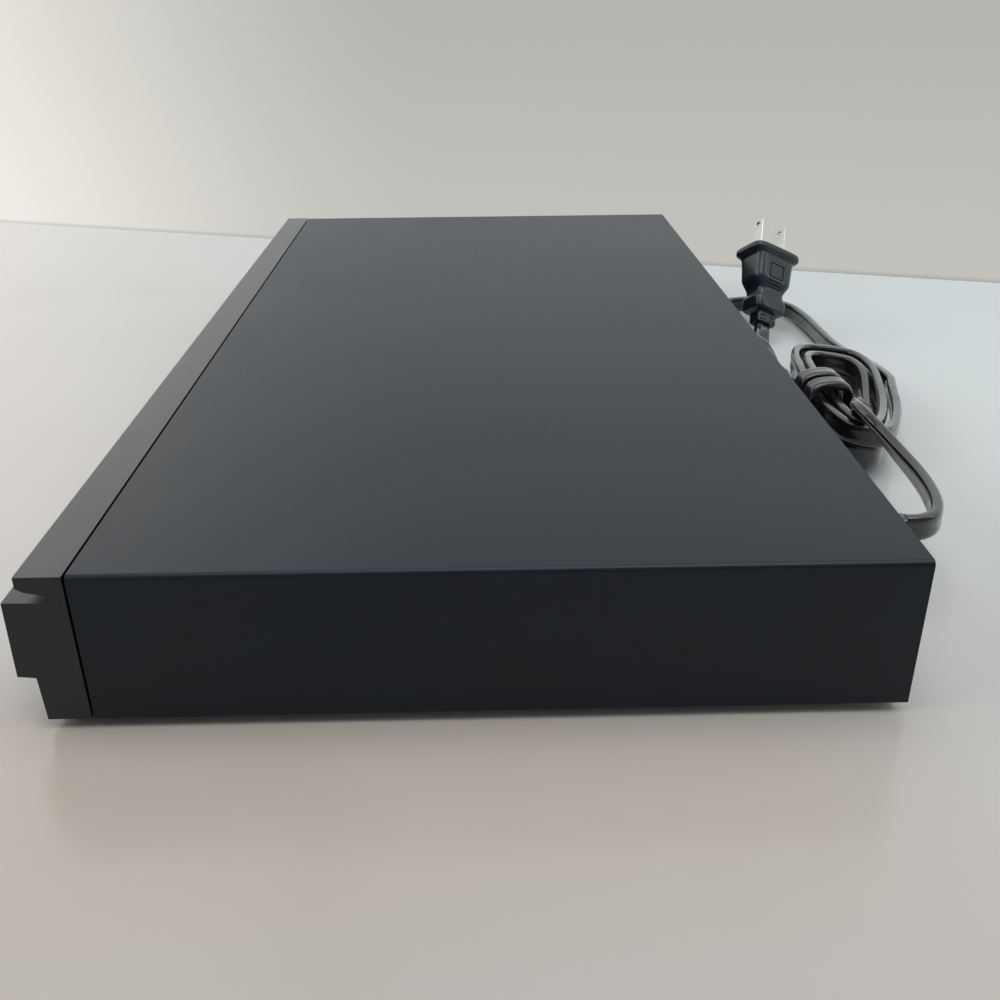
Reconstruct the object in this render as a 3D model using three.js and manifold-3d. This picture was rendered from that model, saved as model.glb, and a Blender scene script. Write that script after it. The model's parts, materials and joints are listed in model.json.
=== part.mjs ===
// Slim disc player: sheet-metal casing, moulded front with a sliding disc tray, drive mechanism,
// circuit boards, and a flat two-core mains cord that lies bound in a hank behind the casing.
// Millimetres. +Z is up and the front faces -Y. The origin is on the table, under the middle.
import * as THREE from 'three';
import { mergeVertices } from 'three/addons/utils/BufferGeometryUtils.js';
import Module from 'manifold-3d';

// Casing
const caseWidth = 360;
const caseDepth = 196;
const caseHeight = 39;
const footHeight = 2.7;
const footRadius = 8;
const footTaper = 0.8;
const footInsetX = 30;
const footInsetFront = 28;
const footInsetRear = 20;
const sheet = 0.8;
const bendRadius = 1.3;
const seamFromFront = 14;
const seamGap = 0.6;
const fitGap = 0.3;
const overrun = 1;
const chassisFlangeHeight = 11;
const standoffRadius = 3.5;
const standoffInset = 6;
const standoffHeight = 5.5;
const boardThickness = 1.6;
const bottomSlotWidth = 3;
const bottomSlotLength = 26;
const bottomSlotPitch = 8;
const bottomSlotCount = 6;

// Rear of the casing
const rearRecess = 1.1;
const hemDrop = 8;
const rearSlotWidth = 2.4;
const rearSlotHeight = 13;
const rearSlotPitch = 6;
const rearSlotCount = 9;
const rearSlotInset = 30;
const rearSlotZ = 12;
const screwHeadRadius = 3;
const screwHeadHeight = 1;
const screwShankRadius = 1.3;
const screwHoleRadius = 1.6;
const screwLength = 4;
const screwSlotWidth = 0.8;
const screwSlotLength = 3.4;
const screwSlotDepth = 0.6;
const screwDrop = 5.5;
const screwInset = 12;

// Moulded front
const bezelWall = 2;
const frontTopDrop = 6.1;
const frontLean = 0.4;
const kickTopDrop = 0.4;
const kickSetback = 4;
const kickFootSetback = 4.4;
const lipSetback = 4;
const lipThickness = 2.7;
const lipTuckY = 1.6;
const lipTuckZ = 0.9;
const grooveTopDrop = 4.7;
const grooveBottomDrop = 6.3;
const grooveSetback = 10.7;
const cavityTopDrop = 8;
const cavityFloorSetback = 6.3;
const postRadius = 2;
const postDrop = 0.5;
const windowDoorGap = 14.4;
const windowFlapGap = 12;
const windowFootMargin = 3.3;
const windowHeadMargin = 3.4;
const windowThickness = 1.6;
const windowInset = 0.2;
const buttonWidth = 9;
const buttonHeight = 6;
const buttonPitch = 14;
const powerInset = 19;
const powerPitch = 18;
const powerMargin = 1;
const buttonTravel = 0.8;
const buttonInset = 0.1;
const buttonFlange = 1;
const buttonFlangeThickness = 1;
const buttonStemRadius = 1.5;
const switchSize = 6;
const switchDepth = 3.5;
const flapWidth = 18;
const flapKeyGap = 8.5;
const flapAxisRise = 2.1;
const flapTopDrop = 1.1;
const flapHalfThickness = 0.9;
const flapPinRadius = 0.6;
const flapPinLength = 0.9;
const flapPinPlay = 0.3;

// Disc tray and loader
const loaderInset = 18.2;
const frameWidth = 146;
const frameWall = 3;
const frameSeamGap = 2;
const frameRearGap = 16.1;
const frameFloorThickness = 1.5;
const frameCamGap = 0.5;
const crossbarDepth = 8;
const railWidth = 8;
const railThickness = 2.3;
const traySideGap = 6;
const doorDepth = 2.1;
const trayRearGap = 18;
const trayThickness = 3.8;
const discRadius = 60;
const discPlay = 0.5;
const recessFloorThickness = 1.8;
const smallDiscRadius = 40;
const smallRecessDepth = 0.7;
const trayFrontRim = 6.4;
const traySlotHalfWidth = 16.5;
const holdDownLength = 16;
const holdDownThickness = 1.5;
const doorOverlap = 1.6;
const doorFootMargin = 1.8;
const doorHeadMargin = 2.3;
const gearModule = 1;
const trayGearTeeth = 20;
const pinionTeeth = 10;
const gearInset = 11;
const gearTrayGap = 1;
const gearThickness = 3.5;
const gearClearance = 0.4;
const rackInset = 14;
const rackBacking = 3;
const axlePinRadius = 1.5;
const axlePlay = 0.35;
const hubRadius = 2.6;
const pulleyRimThickness = 0.8;
const pulleyGrooveHeight = 1.6;
const pulleyGrooveRadius = 10;
const motorGrooveRadius = 3;
const pulleyRimDepth = 1;
const beltThickness = 0.7;
const beltPlay = 0.25;
const pulleySpacing = 31;
const loadMotorRadius = 10;
const loadMotorFloorGap = 0.6;
const motorShaftRadius = 1;
const motorShaftGap = 0.3;
const bridgeDepth = 42;
const bridgeThickness = 1;
const bridgeHoleRadius = 13;
const puckRadius = 15;
const puckNeckRadius = 12;
const puckConeGap = 0.8;
const puckLowerThickness = 2;
const puckUpperThickness = 1.2;
const puckPlay = 0.6;

// Traverse deck with spindle and pickup
const deckWidth = 72;
const deckFrontReach = 23;
const deckPivotGap = 4;
const deckFloorGap = 2;
const deckThickness = 1.2;
const deckFlangeDrop = 2.5;
const pivotInset = 14;
const pivotDrop = 1.5;
const pivotPinRadius = 2;
const pivotPlay = 0.3;
const deckArmWidth = 6;
const deckArmRadius = 3.5;
const lugGap = 4;
const lugThickness = 3;
const lugRadius = 4.5;
const camPinRadius = 1.5;
const camPinSpread = 44;
const camPinPlay = 0.5;
const camDeckGap = 4.5;
const camThickness = 3;
const camWidth = 84;
const camTravel = 16;
const camSlotFoot = 1.7;
const camSlotHead = 1.6;
const sledWindowHalfWidth = 22;
const sledWindowRearGap = 18.9;
const lensHomeReach = 23;
const sledFrontReach = 9;
const sledRearReach = 13;
const sledHalfWidth = 28.9;
const sledLowerWall = 0.95;
const sledUpperWall = 0.75;
const sledDeckGap = 0.4;
const sledTowerHalfWidth = 15;
const lensTowerGap = 0.9;
const sledWindowPlay = 0.6;
const lensRadius = 3.6;
const lensHeight = 2.1;
const lensDiscGap = 1.8;
const lensRimHeight = 0.6;
const rodOffsetX = 24;
const rodRadius = 1.25;
const bossDepth = 4;
const bossHalfWidth = 3;
const bossWall = 0.75;
const rodFrontGap = 4.7;
const rodRearGap = 3.2;
const screwOffsetX = 30.5;
const leadScrewRadius = 1.3;
const leadScrewReach = 3;
const sledMotorFloorGap = 2.7;
const sledMotorDeckGap = 0.2;
const sledMotorLength = 10;
const spindleMotorRadius = 12.5;
const spindleMotorHeight = 3.6;
const spindleShaftRadius = 1.5;
const spindleHoleRadius = 3;
const turntableHubRadius = 4;
const turntableRadius = 14;
const discLift = 1.5;
const turntableThickness = 3;
const coneRadius = 7.4;
const coneTaper = 0.9;
const coneHeight = 1.8;

// Circuit boards and sockets
const loaderBoardGap = 15;
const boardGap = 10;
const mainBoardDepth = 73;
const mainBoardRearGap = 3.1;
const chipSize = 22;
const chipHeight = 1.6;
const chipFromRear = 41;
const smallChipSize = 11;
const smallChipHeight = 1.1;
const sinkSize = 32;
const sinkBase = 2;
const sinkFinHeight = 9;
const sinkFinThickness = 1.2;
const sinkFinCount = 8;
const lanInset = 20;
const lanWidth = 16;
const lanHeight = 13.5;
const lanDepth = 21;
const lanSocketWidth = 11.8;
const lanSocketHeight = 8;
const lanSocketDepth = 13;
const socketReach = 0.5;
const hdmiInset = 48;
const hdmiWidth = 15;
const hdmiHeight = 6;
const hdmiDepth = 12;
const hdmiWall = 0.6;
const hdmiTongue = 1.2;
const hdmiTongueInset = 2;
const powerBoardSideGap = 7.2;
const powerBoardDepth = 115;
const powerBoardRearGap = 11.1;
const transformerWidth = 28;
const transformerDepth = 24;
const transformerHeadroom = 6.6;
const transformerCoreThickness = 6;
const transformerInset = 22;
const transformerFromRear = 80;
const capacitorRadius = 8;
const capacitorHeadroom = 3.6;
const capacitorInset = 17;
const capacitorFromRear = 45;
const connectorWidth = 9;
const connectorDepth = 7;
const leadFall = 6.4;
const connectorFromRear = 13;
const frontBoardMargin = 2;
const frontBoardSideGap = 7.5;
const frontBoardSetback = 10;
const frontBoardFootGap = 2.3;
const displayInset = 6;
const displayDepth = 6.5;
const usbWidth = 13;
const usbHeight = 6;
const usbDepth = 6.8;
const usbRise = 0.1;
const usbWall = 0.5;
const usbTongue = 1.6;
const ribbonThickness = 0.4;
const ribbonWidth = 14;
const ribbonInset = 40;
const ribbonFrontRise = 5;
const ribbonFloorGap = 1.5;
const ribbonSagReach = 46.4;
const driveRibbonFromRear = 45;
const driveRibbonRise = 4;
const ribbonSocketDepth = 5;
const ribbonSocketHeight = 3;

// Mains cord, strain relief and plug
const cordWidth = 7;
const cordThickness = 3.5;
const cordGap = 0.3;
const cordExitInset = 35;
const grommetHemGap = 0.7;
const routeExitX = 137;
const routeRearY = 98;
const grommetReach = 12.1;
const grommetInside = 5.5;
const grommetHalfWidth = 4.8;
const grommetHalfHeight = 5.5;
const grommetTaper = 1.1;
const grommetFlange = 1.6;
const grommetGroove = 1;
const grommetRibDepth = 0.7;
const grommetRibCount = 3;
const leadWidth = 4.5;
const leadThickness = 2;
const leadDrop = 8;
const reverseLoop = 2;
const hankLoops = 3.5;
const hankX = 12;
const hankY = 135;
const hankBaseZ = 3.9;
const hankLayer = 7.8;
const hankNearReach = 39;
const hankNearStep = 5.8;
const hankFarReach = 31.5;
const hankFarStep = 9.2;
const hankHalfWidth = 8.4;
const hankStep = 4.4;
const hankLift = 6;
const wrapX = 42;
const wrapY = 122;
const wrapZ = 13.9;
const wrapHalfWidth = 7.8;
const wrapHalfHeight = 10.3;
const wrapPitch = 9.5;
const wrapLeadIn = 11;
const wrapLeadOut = 6;
const plugX = -83.1;
const plugY = 129.2;
const plugNeckZ = 9;
const plugHeight = 35;
const plugFlangeLength = 26;
const plugFlangeWidth = 18;
const plugFlangeThickness = 2.6;
const plugFlangeBevel = 2.2;
const plugBodyLength = 19.5;
const plugBodyWidth = 14;
const plugWaistLength = 14;
const plugWaistWidth = 11;
const plugWaistHeight = 8;
const plugCollarLength = 16.5;
const plugCollarWidth = 12.5;
const plugCollarHeight = 6.5;
const plugNeckLength = 10.4;
const plugNeckWidth = 7.2;
const plugNeckReach = 5;
const bladeSpacing = 12.7;
const bladeLength = 16;
const bladeWidth = 6.35;
const wideBladeWidth = 7.9;
const bladeThickness = 1.5;
const bladeHoleRadius = 1.6;
const bladeHoleFromTip = 3.6;
const bladeTipChamfer = 1.4;
const bladeSeatDepth = 5;

// Shape counts and shares
const roundSides = 24;
const smallSides = 14;
const discSides = 56;
const bendSteps = 4;
const stepsPerLoop = 24;
const hankTaperShare = 0.5;
const hankSquareShare = 0.85;
const hankTipShare = 0.66;
const wrapSquareShare = 0.65;
const wrapBlendShare = 0.13;
const climbShare = 0.28;
const boxSquareShare = 0.45;
const cordEdgeShare = 0.2;
const cordFlatShare = 0.63;
const woundFlatShare = 0.54;
const hankTurn = THREE.MathUtils.degToRad(-10);
const liftAngle = THREE.MathUtils.degToRad(-55);
const wrapHeading = THREE.MathUtils.degToRad(182);
const wrapStartAngle = THREE.MathUtils.degToRad(62);
const wrapEndAngle = THREE.MathUtils.degToRad(-885);
const plugTurn = THREE.MathUtils.degToRad(-65);
const plugLean = THREE.MathUtils.degToRad(42);
const plugHeading = THREE.MathUtils.degToRad(166.5);
const quarterTurn = 90;
const uprightShare = 0.12;
const toothTipShare = 0.26;
const toothRootShare = 0.46;
const addendumShare = 0.8;
const dedendumShare = 1.15;
const screwInnerShare = 31 / 90;
const trayHeightShare = 170 / 347;
const mainBoardShare = 95 / 162;
const chipAcrossShare = 9 / 19;
const smallChipShare = 23 / 68;

// Casing places, worked out from the sizes above
const halfWidth = caseWidth / 2;
const frontY = -caseDepth / 2;
const rearY = caseDepth / 2;
const seamY = frontY + seamFromFront;
const floorTopZ = footHeight + sheet;
const innerHalfWidth = halfWidth - sheet;
const panelHalfWidth = innerHalfWidth - fitGap;
const panelOuterY = rearY - rearRecess;
const panelInnerY = panelOuterY - sheet;
const coverInnerTopZ = caseHeight - sheet;
const hemBottomZ = coverInnerTopZ - hemDrop;
const screwZ = caseHeight - screwDrop;
const screwOuterX = halfWidth - screwInset;
const screwInnerX = halfWidth * screwInnerShare;
const rearSlotFirstX = -halfWidth + rearSlotInset;

// Loader places
const frameMinX = -innerHalfWidth + loaderInset;
const frameMaxX = frameMinX + frameWidth;
const loaderX = (frameMinX + frameMaxX) / 2;
const frameInnerMinX = frameMinX + frameWall;
const frameInnerMaxX = frameMaxX - frameWall;
const frameFrontY = seamY + frameSeamGap;
const frameRearY = panelInnerY - frameRearGap;
const trayWidth = frameWidth - 2 * (frameWall + traySideGap);
const trayFrontY = frontY + doorDepth;
const trayRearY = frameRearY - trayRearGap;
const trayBottomZ = THREE.MathUtils.lerp(floorTopZ, coverInnerTopZ, trayHeightShare);
const trayTopZ = trayBottomZ + trayThickness;
const doorWidth = trayWidth + 2 * doorOverlap;
const spindleY = trayFrontY + trayFrontRim + discRadius + discPlay;
const gearAxisY = frameFrontY + gearInset;
const gearMinZ = trayBottomZ - gearTrayGap - gearThickness;
const pulleyBaseZ = gearMinZ - gearClearance - pulleyGrooveHeight - 2 * pulleyRimThickness;
const frameFloorTopZ = pulleyBaseZ - gearClearance;
const crossbarTopZ = frameFloorTopZ;
const trayGearRadius = gearModule * trayGearTeeth / 2;
const pinionRadius = gearModule * pinionTeeth / 2;
const rackPitchX = loaderX - trayWidth / 2 + rackInset;
const trayGearX = rackPitchX + trayGearRadius;
const pulleyX = trayGearX + trayGearRadius + pinionRadius;
const loadMotorX = pulleyX + pulleySpacing;
const loadMotorBaseZ = floorTopZ + loadMotorFloorGap;
const turntableSeatZ = trayBottomZ + recessFloorThickness + discLift;
const puckLowerZ = turntableSeatZ + coneHeight + puckConeGap;
const frameTopZ = puckLowerZ + puckLowerThickness + puckPlay;

// Deck places
const deckFrontY = spindleY - deckFrontReach;
const pivotY = frameRearY - pivotInset;
const deckRearY = pivotY - deckPivotGap;
const deckBottomZ = frameFloorTopZ + deckFloorGap;
const deckTopZ = deckBottomZ + deckThickness;
const deckHalfWidth = deckWidth / 2;
const pivotZ = deckBottomZ - pivotDrop;
const camFrontY = deckFrontY - camDeckGap - camThickness;
const frameFloorRearY = camFrontY - frameCamGap;
const camPinZ = deckBottomZ + deckThickness / 2;
const camSlotRadius = camPinRadius + camPinPlay;
const camMinZ = floorTopZ + fitGap;
const camMaxZ = camPinZ + camSlotRadius + camSlotHead;
const camDrop = camPinZ - camSlotRadius - camSlotFoot - camMinZ;
const lensHomeY = spindleY + lensHomeReach;
const sledWindowRearY = deckRearY - sledWindowRearGap;
const sledTravel = sledWindowRearY - sledWindowPlay - sledRearReach - lensHomeY;
const sledMaxZ = deckBottomZ - sledDeckGap;
const rodZ = sledMaxZ - sledUpperWall - fitGap - rodRadius;
const sledMinZ = rodZ - rodRadius - fitGap - sledLowerWall;
const lensMaxZ = turntableSeatZ - lensDiscGap;
const lensMinZ = lensMaxZ - lensHeight;
const sledTowerTopZ = lensMinZ - lensTowerGap;
const bossMinZ = rodZ - rodRadius - bossWall;
const rodFrontY = lensHomeY - sledFrontReach - rodFrontGap;
const rodRearY = lensHomeY + sledTravel + sledRearReach + rodRearGap;
const sledMotorRadius = (deckBottomZ - sledMotorDeckGap - sledMotorFloorGap - floorTopZ) / 2;
const leadScrewZ = deckBottomZ - sledMotorDeckGap - sledMotorRadius;
const leadScrewFrontY = lensHomeY - leadScrewReach;
const sledMotorFrontY = rodRearY + bossDepth + 2 * fitGap;

// Front places
const frontTopZ = caseHeight - frontTopDrop;
const lipEdgeZ = caseHeight - lipThickness;
const grooveTopZ = caseHeight - grooveTopDrop;
const grooveBottomZ = caseHeight - grooveBottomDrop;
const cavityTopZ = caseHeight - cavityTopDrop;
const doorMinZ = gearMinZ;
const frontBottomZ = doorMinZ - doorFootMargin;
const kickHeight = frontBottomZ - kickTopDrop;
const doorMaxZ = frontTopZ - doorHeadMargin;
const cavityStepZ = doorMinZ - fitGap;
const bezelInnerY = frontY + bezelWall;
const windowMinZ = frontBottomZ + windowFootMargin;
const windowMaxZ = frontTopZ - windowHeadMargin;
const buttonZ = (windowMinZ + windowMaxZ) / 2;
const postZ = buttonZ - postDrop;
const powerX = halfWidth - powerInset;
const powerRadius = (windowMaxZ - windowMinZ) / 2 - powerMargin;
const stopX = powerX - powerPitch - 2 * buttonPitch;
const buttonXs = { stop: stopX, play: stopX + buttonPitch, eject: stopX + 2 * buttonPitch };
const switchXs = [buttonXs.stop, buttonXs.play, buttonXs.eject, powerX];
const flapMaxX = stopX - buttonWidth / 2 - flapKeyGap;
const flapMinX = flapMaxX - flapWidth;
const flapAxisZ = windowMinZ + flapAxisRise;
const flapTopZ = windowMaxZ - flapTopDrop;
const windowMinX = loaderX + doorWidth / 2 + windowDoorGap;
const windowMaxX = flapMinX - windowFlapGap;
const usbZ = buttonZ + usbRise;
const frontBoardMinX = windowMinX - frontBoardMargin;
const frontBoardMaxX = halfWidth - frontBoardSideGap;
const frontBoardFaceY = frontY + frontBoardSetback;
const frontBoardMinZ = footHeight + bezelWall + frontBoardFootGap;
const frontBoardMaxZ = cavityTopZ - fitGap;
const switchFaceY = frontBoardFaceY - switchDepth;

// Board places: the two boards share the width beside the loader
const boardHeight = floorTopZ + standoffHeight;
const boardTopZ = boardHeight + boardThickness;
const powerBoardMaxX = innerHalfWidth - powerBoardSideGap;
const mainBoardMinX = frameMaxX + loaderBoardGap;
const boardsWidth = powerBoardMaxX - mainBoardMinX - boardGap;
const mainBoardMaxX = mainBoardMinX + boardsWidth * mainBoardShare;
const powerBoardMinX = mainBoardMaxX + boardGap;
const mainBoardMaxY = panelInnerY - mainBoardRearGap;
const mainBoardMinY = mainBoardMaxY - mainBoardDepth;
const powerBoardMaxY = panelInnerY - powerBoardRearGap;
const powerBoardMinY = powerBoardMaxY - powerBoardDepth;
const chipX = THREE.MathUtils.lerp(mainBoardMinX, mainBoardMaxX, chipAcrossShare);
const chipY = mainBoardMaxY - chipFromRear;
const lanX = mainBoardMinX + lanInset;
const hdmiX = mainBoardMinX + hdmiInset;
const transformerX = powerBoardMaxX - transformerInset;
const transformerY = powerBoardMaxY - transformerFromRear;
const transformerHeight = coverInnerTopZ - transformerHeadroom - boardTopZ;
const capacitorX = powerBoardMinX + capacitorInset;
const capacitorY = powerBoardMaxY - capacitorFromRear;
const capacitorHeight = coverInnerTopZ - capacitorHeadroom - boardTopZ;
const ribbonFrontX = mainBoardMinX + ribbonInset;
const ribbonFrontZ = frontBoardMinZ + ribbonFrontRise;
const ribbonSagZ = floorTopZ + ribbonFloorGap;
const driveRibbonY = mainBoardMaxY - driveRibbonFromRear;

// Where the cord leaves the casing
const cordExitX = powerBoardMaxX - cordExitInset;
const cordExitZ = hemBottomZ - grommetHemGap - grommetHalfHeight;
const connectorY = powerBoardMaxY - connectorFromRear;
const connectorHeight = cordExitZ - leadFall - boardTopZ;

const wasm = await Module();
wasm.setup();

// Finishes
const finish = (color, roughness, metalness) => (
  new THREE.MeshStandardMaterial({ color, roughness, metalness }));
const finishes = {
  powderCoat: finish(0x25282b, 0.55, 0.35),
  blackPlastic: finish(0x1c1e20, 0.5, 0),
  glossPlastic: finish(0x0b0c0e, 0.12, 0),
  greyPlastic: finish(0x4b4e52, 0.6, 0),
  whitePlastic: finish(0xd6d4cb, 0.55, 0),
  zincSteel: finish(0xa9acae, 0.38, 0.9),
  brightSteel: finish(0xd0d0cc, 0.22, 1),
  brass: finish(0xc8a24b, 0.35, 1),
  rubber: finish(0x17181a, 0.85, 0),
  circuitBoard: finish(0x1d5a34, 0.5, 0.05),
  brownBoard: finish(0x8a6a3a, 0.65, 0),
  aluminium: finish(0xb9bcc0, 0.35, 0.95),
  cordJacket: finish(0x16171a, 0.42, 0),
  plugJacket: finish(0x1a1f28, 0.4, 0),
  flatCable: finish(0xdcdedd, 0.4, 0),
  lensGlass: finish(0x7d9bd0, 0.05, 0.1),
  capacitorSleeve: finish(0x1b2442, 0.35, 0),
};

const player = new THREE.Group();

function add(name, geometry, material, parent = player) {
  const mesh = new THREE.Mesh(geometry, material);
  mesh.name = name;
  parent.add(mesh);
  return mesh;
}

// Solids: boolean joins and cuts
function toSolid(geometry) {
  const bare = geometry.clone();
  bare.deleteAttribute('normal');
  bare.deleteAttribute('uv');
  const merged = mergeVertices(bare);
  const vertProperties = new Float32Array(merged.attributes.position.array);
  const triVerts = new Uint32Array(merged.index.array);
  return new wasm.Manifold(new wasm.Mesh({ numProp: 3, vertProperties, triVerts }));
}

function fromSolid(solid) {
  const mesh = solid.getMesh();
  const geometry = new THREE.BufferGeometry();
  const positions = new Float32Array(mesh.vertProperties);
  geometry.setAttribute('position', new THREE.BufferAttribute(positions, mesh.numProp));
  geometry.setIndex(new THREE.BufferAttribute(new Uint32Array(mesh.triVerts), 1));
  return geometry;
}

const join = (...geometries) => fromSolid(
  geometries.map(toSolid).reduce((whole, next) => whole.add(next)));

const cut = (geometry, ...tools) => fromSolid(
  tools.map(toSolid).reduce((whole, next) => whole.subtract(next), toSolid(geometry)));

// Basic shapes
function block(minX, maxX, minY, maxY, minZ, maxZ) {
  const geometry = new THREE.BoxGeometry(maxX - minX, maxY - minY, maxZ - minZ);
  return geometry.translate((minX + maxX) / 2, (minY + maxY) / 2, (minZ + maxZ) / 2);
}

const outline = (points) => new THREE.Shape(points.map(([u, v]) => new THREE.Vector2(u, v)));

const extrude = (shape, depth, curveSegments = bendSteps) => new THREE.ExtrudeGeometry(
  shape, { depth, curveSegments, bevelEnabled: false });

// A section in Y and Z, drawn out along X
function prismX(shape, minX, maxX) {
  const turn = new THREE.Matrix4().makeBasis(
    new THREE.Vector3(0, 1, 0), new THREE.Vector3(0, 0, 1), new THREE.Vector3(1, 0, 0));
  return extrude(shape, maxX - minX).applyMatrix4(turn).translate(minX, 0, 0);
}

// A section in X and Z, drawn out along Y
function prismY(shape, minY, maxY) {
  const turn = new THREE.Matrix4().makeBasis(
    new THREE.Vector3(1, 0, 0), new THREE.Vector3(0, 0, 1), new THREE.Vector3(0, -1, 0));
  return extrude(shape, maxY - minY).applyMatrix4(turn).translate(0, maxY, 0);
}

// A section in X and Y, drawn out along Z
const prismZ = (shape, minZ, maxZ, curveSegments) => (
  extrude(shape, maxZ - minZ, curveSegments).translate(0, 0, minZ));

const rodZAxis = (x, y, radius, minZ, maxZ, sides = roundSides) => new THREE.CylinderGeometry(
  radius, radius, maxZ - minZ, sides).rotateX(Math.PI / 2).translate(x, y, (minZ + maxZ) / 2);

const rodYAxis = (x, z, radius, minY, maxY, sides = roundSides) => new THREE.CylinderGeometry(
  radius, radius, maxY - minY, sides).translate(x, (minY + maxY) / 2, z);

const rodXAxis = (y, z, radius, minX, maxX, sides = roundSides) => new THREE.CylinderGeometry(
  radius, radius, maxX - minX, sides).rotateZ(Math.PI / 2).translate((minX + maxX) / 2, y, z);

// A turned piece about a vertical axis, from radius and height pairs
const turned = (x, y, profile, sides = roundSides) => new THREE.LatheGeometry(
  profile.map(([radius, z]) => new THREE.Vector2(radius, z)), sides)
  .rotateX(Math.PI / 2).translate(x, y, 0);

// Front face of the moulding leans back slightly towards its top
const faceY = (z) => frontY + frontLean * (z - frontBottomZ) / (frontTopZ - frontBottomZ);

// A plate that follows the front face, with an upright back
const facePlate = (minX, maxX, minZ, maxZ, inset, backY) => prismX(outline([
  [faceY(minZ) + inset, minZ], [backY, minZ],
  [backY, maxZ], [faceY(maxZ) + inset, maxZ]]), minX, maxX);

// Casing pieces
function coverProfile() {
  const shape = new THREE.Shape();
  const inner = bendRadius - sheet;
  shape.moveTo(-halfWidth, footHeight);
  shape.lineTo(-innerHalfWidth, footHeight);
  shape.lineTo(-innerHalfWidth, caseHeight - bendRadius);
  shape.absarc(-halfWidth + bendRadius, caseHeight - bendRadius, inner,
    Math.PI, Math.PI / 2, true);
  shape.lineTo(halfWidth - bendRadius, coverInnerTopZ);
  shape.absarc(halfWidth - bendRadius, caseHeight - bendRadius, inner, Math.PI / 2, 0, true);
  shape.lineTo(innerHalfWidth, footHeight);
  shape.lineTo(halfWidth, footHeight);
  shape.lineTo(halfWidth, caseHeight - bendRadius);
  shape.absarc(halfWidth - bendRadius, caseHeight - bendRadius, bendRadius, 0, Math.PI / 2, false);
  shape.lineTo(-halfWidth + bendRadius, caseHeight);
  shape.absarc(-halfWidth + bendRadius, caseHeight - bendRadius, bendRadius,
    Math.PI / 2, Math.PI, false);
  return shape;
}

const screwXs = [-screwOuterX, -screwInnerX, screwInnerX, screwOuterX];
const hemOuterY = panelInnerY - fitGap;
const hemInnerY = hemOuterY - sheet;

function makeCover() {
  const shell = prismY(coverProfile(), seamY + seamGap, rearY);
  const hem = block(-panelHalfWidth, panelHalfWidth, hemInnerY, hemOuterY,
    hemBottomZ, coverInnerTopZ + sheet / 2);
  const holes = screwXs.map((x) => rodYAxis(x, screwZ, screwHoleRadius,
    hemInnerY - overrun, hemOuterY + overrun, smallSides));
  return cut(join(shell, hem), ...holes);
}

const boardCorners = (minX, maxX, minY, maxY) => [
  [minX + standoffInset, minY + standoffInset], [maxX - standoffInset, minY + standoffInset],
  [minX + standoffInset, maxY - standoffInset], [maxX - standoffInset, maxY - standoffInset]];

function makeChassis() {
  const plate = block(-panelHalfWidth, panelHalfWidth, seamY + seamGap, panelOuterY,
    footHeight, floorTopZ);
  const flange = (side) => block(
    Math.min(side * panelHalfWidth, side * (panelHalfWidth - sheet)),
    Math.max(side * panelHalfWidth, side * (panelHalfWidth - sheet)),
    seamY + seamGap, panelInnerY - fitGap, footHeight + sheet / 2, floorTopZ + chassisFlangeHeight);
  const corners = [
    ...boardCorners(mainBoardMinX, mainBoardMaxX, mainBoardMinY, mainBoardMaxY),
    ...boardCorners(powerBoardMinX, powerBoardMaxX, powerBoardMinY, powerBoardMaxY)];
  const standoffs = corners.map(([x, y]) => rodZAxis(x, y, standoffRadius,
    footHeight + sheet / 2, boardHeight, smallSides));
  const slots = Array.from({ length: bottomSlotCount }, (_, index) => {
    const middleX = (powerBoardMinX + powerBoardMaxX) / 2;
    const x = middleX + (index - (bottomSlotCount - 1) / 2) * bottomSlotPitch;
    return block(x - bottomSlotWidth / 2, x + bottomSlotWidth / 2,
      transformerY - bottomSlotLength / 2, transformerY + bottomSlotLength / 2,
      footHeight - overrun, floorTopZ + overrun);
  });
  return cut(join(plate, flange(-1), flange(1), ...standoffs), ...slots);
}

function makeFoot(x, y) {
  return new THREE.CylinderGeometry(footRadius, footRadius - footTaper, footHeight, roundSides)
    .rotateX(Math.PI / 2).translate(x, y, footHeight / 2);
}

const lanMinZ = boardTopZ;
const hdmiMinZ = boardTopZ;
const socketEndY = panelOuterY + socketReach;

function makeRearPanel() {
  const plate = block(-panelHalfWidth, panelHalfWidth, panelInnerY, panelOuterY,
    floorTopZ, coverInnerTopZ - fitGap);
  const grommetHoleX = grommetHalfWidth - grommetGroove + fitGap;
  const grommetHoleZ = grommetHalfHeight - grommetGroove + fitGap;
  const through = (x, width, minZ, maxZ) => block(x - width / 2 - fitGap, x + width / 2 + fitGap,
    panelInnerY - overrun, panelOuterY + overrun, minZ - fitGap, maxZ + fitGap);
  const slots = Array.from({ length: rearSlotCount }, (_, index) => through(
    rearSlotFirstX + index * rearSlotPitch, rearSlotWidth, rearSlotZ, rearSlotZ + rearSlotHeight));
  const holes = screwXs.map((x) => rodYAxis(x, screwZ, screwHoleRadius,
    panelInnerY - overrun, panelOuterY + overrun, smallSides));
  return cut(plate, ...slots, ...holes,
    through(lanX, lanWidth, lanMinZ, lanMinZ + lanHeight),
    through(hdmiX, hdmiWidth, hdmiMinZ, hdmiMinZ + hdmiHeight),
    block(cordExitX - grommetHoleX, cordExitX + grommetHoleX,
      panelInnerY - overrun, panelOuterY + overrun,
      cordExitZ - grommetHoleZ, cordExitZ + grommetHoleZ));
}

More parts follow.
